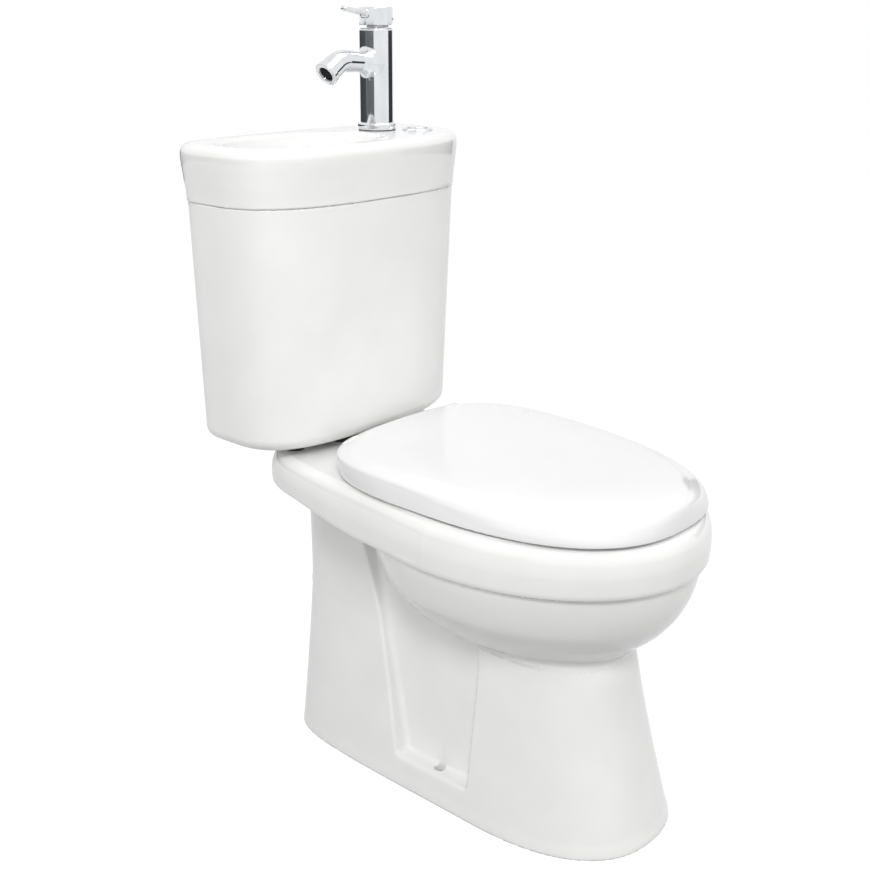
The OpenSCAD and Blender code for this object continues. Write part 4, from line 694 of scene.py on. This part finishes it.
def grid_tree(name, material):
    """Node tree: count bars, pitch apart, each width by length by height, in two crossed layers."""
    tree = bpy.data.node_groups.new(name, "GeometryNodeTree")
    for label, kind in (("Count", "NodeSocketInt"), ("Pitch", "NodeSocketFloat"),
                        ("Bar", "NodeSocketVector")):
        tree.interface.new_socket(label, in_out="INPUT", socket_type=kind)
    tree.interface.new_socket("Geometry", in_out="OUTPUT", socket_type="NodeSocketGeometry")
    given = add(tree, "NodeGroupInput").outputs
    reach = add(tree, "ShaderNodeMath", {0: given["Count"], 1: 1.0}, operation="SUBTRACT").outputs[0]
    reach = add(tree, "ShaderNodeMath", {0: reach, 1: given["Pitch"]}, operation="MULTIPLY").outputs[0]
    start = add(tree, "ShaderNodeMath", {0: reach, 1: -0.5}, operation="MULTIPLY").outputs[0]
    line = add(tree, "GeometryNodeMeshLine",
               {"Count": given["Count"],
                "Start Location": add(tree, "ShaderNodeCombineXYZ", {"X": start}).outputs[0],
                "Offset": add(tree, "ShaderNodeCombineXYZ", {"X": given["Pitch"]}).outputs[0]})
    bar_mesh = add(tree, "GeometryNodeMeshCube", {"Size": given["Bar"]})
    row = add(tree, "GeometryNodeInstanceOnPoints",
              {"Points": line.outputs["Mesh"], "Instance": bar_mesh.outputs["Mesh"]}).outputs["Instances"]
    row = add(tree, "GeometryNodeRealizeInstances", {"Geometry": row}).outputs["Geometry"]
    crossed = add(tree, "GeometryNodeTransform",
                  {"Geometry": row, "Rotation": (0, 0, math.pi / 2),
                   "Translation": (0, 0, -BAR_H * MM)}).outputs["Geometry"]
    both = add(tree, "GeometryNodeJoinGeometry")
    tree.links.new(row, both.inputs[0])
    tree.links.new(crossed, both.inputs[0])
    painted = add(tree, "GeometryNodeSetMaterial", {"Geometry": both.outputs[0], "Material": material})
    real = add(tree, "GeometryNodeRealizeInstances", {"Geometry": painted.outputs["Geometry"]})
    add(tree, "NodeGroupOutput", {"Geometry": real.outputs["Geometry"]})
    return tree


def grown(name, tree, values):
    """The plain mesh object that a node tree makes from the values of its named inputs."""
    seed = bpy.data.objects.new(name, bpy.data.meshes.new(name))
    bpy.context.scene.collection.objects.link(seed)
    modifier = seed.modifiers.new("grow", "NODES")
    modifier.node_group = tree
    for item in tree.interface.items_tree:
        if item.in_out == "INPUT" and item.name in values:
            modifier[item.identifier] = values[item.name]
    bpy.context.view_layer.update()
    mesh = bpy.data.meshes.new_from_object(seed.evaluated_get(bpy.context.evaluated_depsgraph_get()))
    seed.modifiers.clear()
    seed.data = mesh
    mesh.name = name
    return seed


aerator_grid = grown("aerator_grid", grid_tree("aerator_bars", dark_acetal),
                     {"Count": BAR_COUNT, "Pitch": BAR_PITCH * MM,
                      "Bar": (BAR_W * MM, BAR_L * MM, BAR_H * MM)})
rise, tilt = math.radians(SPOUT_RISE), math.radians(SPOUT_TURN)
along = SPOUT_RUN + BEND_R * math.sin(tilt) + (SPOUT_END_H - BAR_H) * math.cos(tilt)
over = BEND_R * math.cos(tilt) - BEND_R - (SPOUT_END_H - BAR_H) * math.sin(tilt)
mouth = Vector((TAP_X - along * math.cos(rise) + over * math.sin(rise), WALL_Y - TAP_D,
                SPOUT_Z + along * math.sin(rise) + over * math.cos(rise))) * MM
down = Vector((-math.cos(rise - tilt), 0, math.sin(rise - tilt)))
side = Vector((0, 1, 0))
mouth_frame = Matrix.Translation(mouth) @ Matrix((side, down.cross(side), down)).transposed().to_4x4()
aerator_grid.data.transform(mouth_frame)
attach(aerator_grid, "root")

aerator_cup = turned_piece(
    "aerator_cup",
    eased([(0, -10.9), (AERATOR_R, -10.9), (AERATOR_R, 0.9), (8.6, 0.9), (8.6, -2.6), (0, -2.6)], 0.4),
    (0, 0, 0), dark_acetal, "root", "aerator", segments=64)
aerator_cup.data.transform(mouth_frame)


# ---- Tap handle ----------------------------------------------------------------------------
# A cap of the tap's own diameter with a flat lever cast onto it. It turns on the cartridge's
# spindle, and lifts about a pin behind the spindle.

CAP_Z, CAP_H = LID_TOP + TAP_H + 1.2 + 3.4, 21.5
LEVER_REACH, LEVER_HALF, LEVER_RISE, LEVER_TIP_T, LEVER_ROOT_T = 59.5, 5.5, 7.0, 5.0, 7.5
BACK_CUT, SKIRT_R = 9.0, 18.25


def tap_handle_solid(x, y, z):
    px, py, pz = x - TAP_X, y - (WALL_Y - TAP_D), z - CAP_Z
    out = np.hypot(px, py)
    cap = meet(meet(out - TAP_R, pz - CAP_H, 1.5), -pz, 0.5)
    tip = CAP_H + 1.2
    top = tip - (LEVER_REACH + px) * math.tan(math.radians(LEVER_RISE))
    thick = LEVER_TIP_T + (LEVER_ROOT_T - LEVER_TIP_T) * (LEVER_REACH + px) / (LEVER_REACH - SKIRT_R)
    plan = np.hypot(np.minimum(px + LEVER_REACH - LEVER_HALF, 0), py) - LEVER_HALF
    lever = meet(plan, np.abs(pz - top + thick / 2) - thick / 2, 1.9)
    lever = meet(lever, px + 12)
    body = join(cap, lever, 2.0)
    body = cut(body, meet(out - SKIRT_R, pz - CAP_H + 4), 0.5)
    back = math.radians(BACK_CUT)
    return cut(body, meet(pz * math.cos(back) - (px - 4) * math.sin(back), 4 - px), 0.5)


tap_handle = cast("tap_handle_chrome", tap_handle_solid, (30, 217, 903), (118, 265, 931), 0.8, 90000)
tap_handle.data.materials.append(chrome_plate)
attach(tap_handle, "tap_handle")
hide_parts("tap_handle")


# ---- Basin waste ---------------------------------------------------------------------------
# The waste is a chromed brass flange with a ring of slots round a centre screw, clamped
# through the basin's floor between two rubber washers.

WASTE_R, WASTE_TAIL_R, WASTE_DISH_R, SLOT_MID, SLOT_HALF_L, SLOT_HALF_W = 31.5, 20.5, 16.0, 9.5, 4.5, 1.5


def waste_solid(x, y, z):
    px, py, pz = x - BASIN_X, y - (WALL_Y - BASIN_D), z - (LID_TOP - BASIN_DEPTH + 1.5)
    out = np.hypot(px, py)
    dish = 1.2 + 0.6 * np.clip(out / 20, 0, 1) + 0.8 * np.clip((out - 20) / 8.5, 0, 1)
    plate = meet(meet(out - WASTE_R, pz - dish, 0.7), -pz)
    tail = meet(out - WASTE_TAIL_R, np.abs(pz + 19) - 19, 0.5)
    body = cut(join(plate, tail, 0.6), meet(out - WASTE_DISH_R, pz + 1.0))
    angle = np.arctan2(py, px)
    sector = angle - np.round(angle / (math.pi / 3)) * (math.pi / 3)
    slot = meet(np.abs(out * np.sin(sector)) - SLOT_HALF_W,
                np.abs(out * np.cos(sector) - SLOT_MID) - SLOT_HALF_L, 1.4)
    return cut(cut(body, slot, 0.4), out - 2.5, 0.3)


waste = cast("waste_flange_chrome", waste_solid, (-90, 188, 676), (-24, 254, 721), 0.85, 70000)
waste.data.materials.append(chrome_plate)
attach(waste, "root")
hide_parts("waste_flange")


# ---- Dual flush button ---------------------------------------------------------------------
# A chromed plastic bezel with two part-round buttons in it: the larger one flushes in full,
# the smaller one half. Each is crowned a little less at its middle, so a finger finds it.

button_foot = (BUTTON_X, WALL_Y - BUTTON_D, LID_TOP)
turned_piece("button_bezel_chrome",
             eased([(13.5, -32), (15.5, -32), (15.5, 0), (20, 0), (20, 0.8), (17.5, 3), (13.5, 2.4)], 0.5),
             button_foot, chrome_plate, "root", "button_bezel")


BUTTON_R, BUTTON_LOW, BUTTON_CROWN, STEM_R, STEM_L = 13.2, 4.0, 0.5, 2.0, 38.0


def flush_button(name, low, high, stem_x):
    """One of the two buttons: the disc's part from x = low to x = high, with its stem."""
    def solid(x, y, z):
        px, py, pz = x - BUTTON_X, y - (WALL_Y - BUTTON_D), z - LID_TOP
        out = np.hypot(px, py)
        crown = BUTTON_LOW + BUTTON_CROWN * np.clip(out / 12, 0, 1) ** 2
        disc = meet(meet(out - BUTTON_R, pz - crown, 0.8), -5 - pz)
        disc = meet(disc, np.abs(px - (low + high) / 2) - (high - low) / 2, 0.5)
        stem = meet(np.hypot(px - stem_x, py) - STEM_R, np.abs(pz + 4 + STEM_L / 2) - STEM_L / 2)
        return join(disc, stem)
    obj = cast(name + "_chrome", solid, (BUTTON_X - 15, WALL_Y - BUTTON_D - 15, LID_TOP - 44),
               (BUTTON_X + 15, WALL_Y - BUTTON_D + 15, LID_TOP + 6), 0.75, 30000)
    obj.data.materials.append(chrome_plate)
    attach(obj, name)
    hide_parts(name)


flush_button("full_flush_button", -30, 1.7, -5)
flush_button("half_flush_button", 2.3, 30, 7)


# ---- Fixings and inner works -----------------------------------------------------------------
# Hinge posts, bolts, washers, valves and the tap's inner pieces keep the shapes of the model.
# Each gets the finish of the real piece.

# Black nitrile rubber, moulded: matt, with a fine grain that catches no light.
nitrile = surface("nitrile_rubber", "#3a3b3d", "#303133", 9, 0.8, 0.03, {"Roughness": 0.75, "IOR": 1.5})
# Stainless steel, drawn and brushed: pale grey lines that run along the piece.
brushed_steel = surface("brushed_stainless", "#c2c4c6", "#aeb1b4", 3, 0.6, 0.01,
                        {"Metallic": 1.0, "Roughness": 0.28}, stretch=(1, 1, 0.08))
# Hot pressed brass, left bare: warm, with dull and bright patches.
pressed_brass = surface("pressed_brass", "#cfae68", "#b08d4a", 7, 1.2, 0.03,
                        {"Metallic": 1.0, "Roughness": 0.34})
# Polypropylene, moulded: soft satin, a trace of flow marks.
white_polypropylene = surface("white_polypropylene", "#ececea", "#e2e2df", 18, 2.5, 0.03,
                              {"Roughness": 0.38})
grey_polypropylene = surface("grey_polypropylene", "#b4b8bb", "#a6aaad", 18, 2.5, 0.03, {"Roughness": 0.4})
blue_polypropylene = surface("blue_polypropylene", "#2f62b5", "#27569f", 18, 2.5, 0.03, {"Roughness": 0.38})
# Silicone rubber, moulded: translucent red with a dull skin.
red_silicone = surface("red_silicone", "#bd3a2e", "#a93226", 9, 1.0, 0.02, {"Roughness": 0.5})
# Thermoplastic elastomer of the seat's buffers: off-white and matt.
elastomer = surface("white_elastomer", "#e6e6e4", "#dcdcda", 6, 0.8, 0.02, {"Roughness": 0.6})
finishes = {"dark_rubber": nitrile, "stainless_steel": brushed_steel, "brass": pressed_brass,
            "white_plastic": white_polypropylene, "grey_plastic": grey_polypropylene,
            "blue_plastic": blue_polypropylene, "red_silicone": red_silicone,
            "white_elastomer": elastomer, "dark_plastic": dark_acetal, "cable_sheath": dark_acetal,
            "chrome_plate": chrome_plate, "vitreous_china": glazed_china, "seat_plastic": pressed_urea}
slots = {s["node"]: s["material_slot"] for s in frame["record"]["subparts"]}
for node, obj in frame["nodes"].items():
    obj.data.materials.clear()
    obj.data.materials.append(finishes[slots[node]])


# ---- Camera, floor and light -----------------------------------------------------------------
# A plain white floor that keeps the object's shadow, a white surround, and large soft lamps.

LENS_MM = 51.68
CAMERA_PLACE = (-1.0929, -0.9194, 0.9317)
YAW, PITCH, ROLL = 48.28, 19.07, 0.26

camera_data = bpy.data.cameras.new("camera")
camera_data.sensor_width = 36.0
camera_data.lens = LENS_MM
camera = bpy.data.objects.new("camera", camera_data)
bpy.context.scene.collection.objects.link(camera)
yaw, pitch, roll = math.radians(YAW), math.radians(PITCH), math.radians(ROLL)
ahead = Vector((math.sin(yaw) * math.cos(pitch), math.cos(yaw) * math.cos(pitch), -math.sin(pitch)))
right = Vector((math.cos(yaw), -math.sin(yaw), 0))
up = right.cross(ahead)
right, up = right * math.cos(roll) + up * math.sin(roll), up * math.cos(roll) - right * math.sin(roll)
camera.matrix_world = (Matrix.Translation(CAMERA_PLACE)
                       @ Matrix((right, up, -ahead)).transposed().to_4x4())
bpy.context.scene.camera = camera

bpy.context.scene.view_settings.view_transform = "Standard"

white_paper = bpy.data.materials.new("white_paper")
white_paper.use_nodes = True
paper = white_paper.node_tree
paper.nodes.clear()
rays = add(paper, "ShaderNodeLightPath").outputs
seen = add(paper, "ShaderNodeMath", {0: rays["Is Camera Ray"], 1: rays["Is Glossy Ray"]}, operation="MAXIMUM")
part = add(paper, "ShaderNodeMath", {0: seen.outputs[0], 1: 0.6}, operation="MULTIPLY")
tone = add(paper, "ShaderNodeMix", {0: rays["Is Camera Ray"], 6: colour("#9c9c9c"), 7: colour("#f7f7f7")},
           data_type="RGBA")
sheet = add(paper, "ShaderNodeBsdfDiffuse", {"Color": tone.outputs[2]})
glow = add(paper, "ShaderNodeEmission", {"Color": colour("#ffffff"), "Strength": 1.4})
mixed = add(paper, "ShaderNodeMixShader", {0: part.outputs[0], 1: sheet.outputs[0], 2: glow.outputs[0]})
add(paper, "ShaderNodeOutputMaterial", {"Surface": mixed.outputs[0]})
FLOOR_HALF = 6.0
floor_mesh = bpy.data.meshes.new("floor")
floor_mesh.from_pydata([(-FLOOR_HALF, -FLOOR_HALF, 0), (FLOOR_HALF, -FLOOR_HALF, 0),
                        (FLOOR_HALF, FLOOR_HALF, 0), (-FLOOR_HALF, FLOOR_HALF, 0)], [], [(0, 1, 2, 3)])
floor_mesh.materials.append(white_paper)
floor = bpy.data.objects.new("floor", floor_mesh)
bpy.context.scene.collection.objects.link(floor)

world = bpy.data.worlds.new("surround")
bpy.context.scene.world = world
world.use_nodes = True
sky = world.node_tree
sky.nodes.clear()
rays = add(sky, "ShaderNodeLightPath").outputs
soft = add(sky, "ShaderNodeBackground", {"Color": colour("#ffffff"), "Strength": 0.43})
bright = add(sky, "ShaderNodeBackground", {"Color": colour("#ffffff"), "Strength": 1.0})
seen = add(sky, "ShaderNodeMath", {0: rays["Is Camera Ray"], 1: rays["Is Glossy Ray"]}, operation="MAXIMUM")
blend = add(sky, "ShaderNodeMixShader", {0: seen.outputs[0], 1: soft.outputs[0], 2: bright.outputs[0]})
add(sky, "ShaderNodeOutputWorld", {"Surface": blend.outputs[0]})


def softbox(name, place, aim, width, height, watts, mirrored=True):
    """A rectangular area lamp at place, turned to the point aim, with or without a reflection."""
    data = bpy.data.lights.new(name, "AREA")
    data.shape = "RECTANGLE"
    data.size, data.size_y, data.energy = width, height, watts
    lamp = bpy.data.objects.new(name, data)
    bpy.context.scene.collection.objects.link(lamp)
    lamp.location = place
    lamp.rotation_euler = (Vector(aim) - Vector(place)).to_track_quat("-Z", "Y").to_euler()
    lamp.visible_glossy = mirrored


softbox("top_box", (0.3, -0.6, 2.6), (0, -0.1, 0.4), 1.8, 1.4, 12)
softbox("key_box", (-2.0, -1.7, 2.7), (0, -0.1, 0.4), 0.8, 0.8, 48)
softbox("front_box", (0.9, -2.2, 1.3), (0, 0, 0.5), 0.9, 1.5, 13, mirrored=False)
softbox("left_box", (-2.3, 0.1, 1.5), (0, 0, 0.5), 0.8, 1.5, 15, mirrored=False)


def flag(name, place, aim, width, height, shade):
    """A grey card that only shows in reflections, as a photographer sets round polished metal."""
    mat = surface(name, shade, shade, 200, 50, 0.1, {"Roughness": 0.9})
    mesh = bpy.data.meshes.new(name)
    w, h = width / 2, height / 2
    mesh.from_pydata([(-w, -h, 0), (w, -h, 0), (w, h, 0), (-w, h, 0)], [], [(0, 1, 2, 3)])
    mesh.materials.append(mat)
    obj = bpy.data.objects.new(name, mesh)
    bpy.context.scene.collection.objects.link(obj)
    obj.matrix_world = (Matrix.Translation(place)
                        @ (Vector(aim) - Vector(place)).to_track_quat("-Z", "Y").to_matrix().to_4x4())
    obj.visible_camera = obj.visible_diffuse = obj.visible_shadow = False


CARD_AIM, CARD_H = (0.09, 0.24, 0.67), 0.42
flag("back_card", (-0.15, 1.73, 0.67), CARD_AIM, 3.6, CARD_H, "#4a4c4f")
flag("right_card", (1.49, -0.32, 0.67), CARD_AIM, 1.4, CARD_H, "#3c3e41")
flag("side_card", (-1.41, 0.29, 0.67), CARD_AIM, 1.6, CARD_H, "#8f9295")
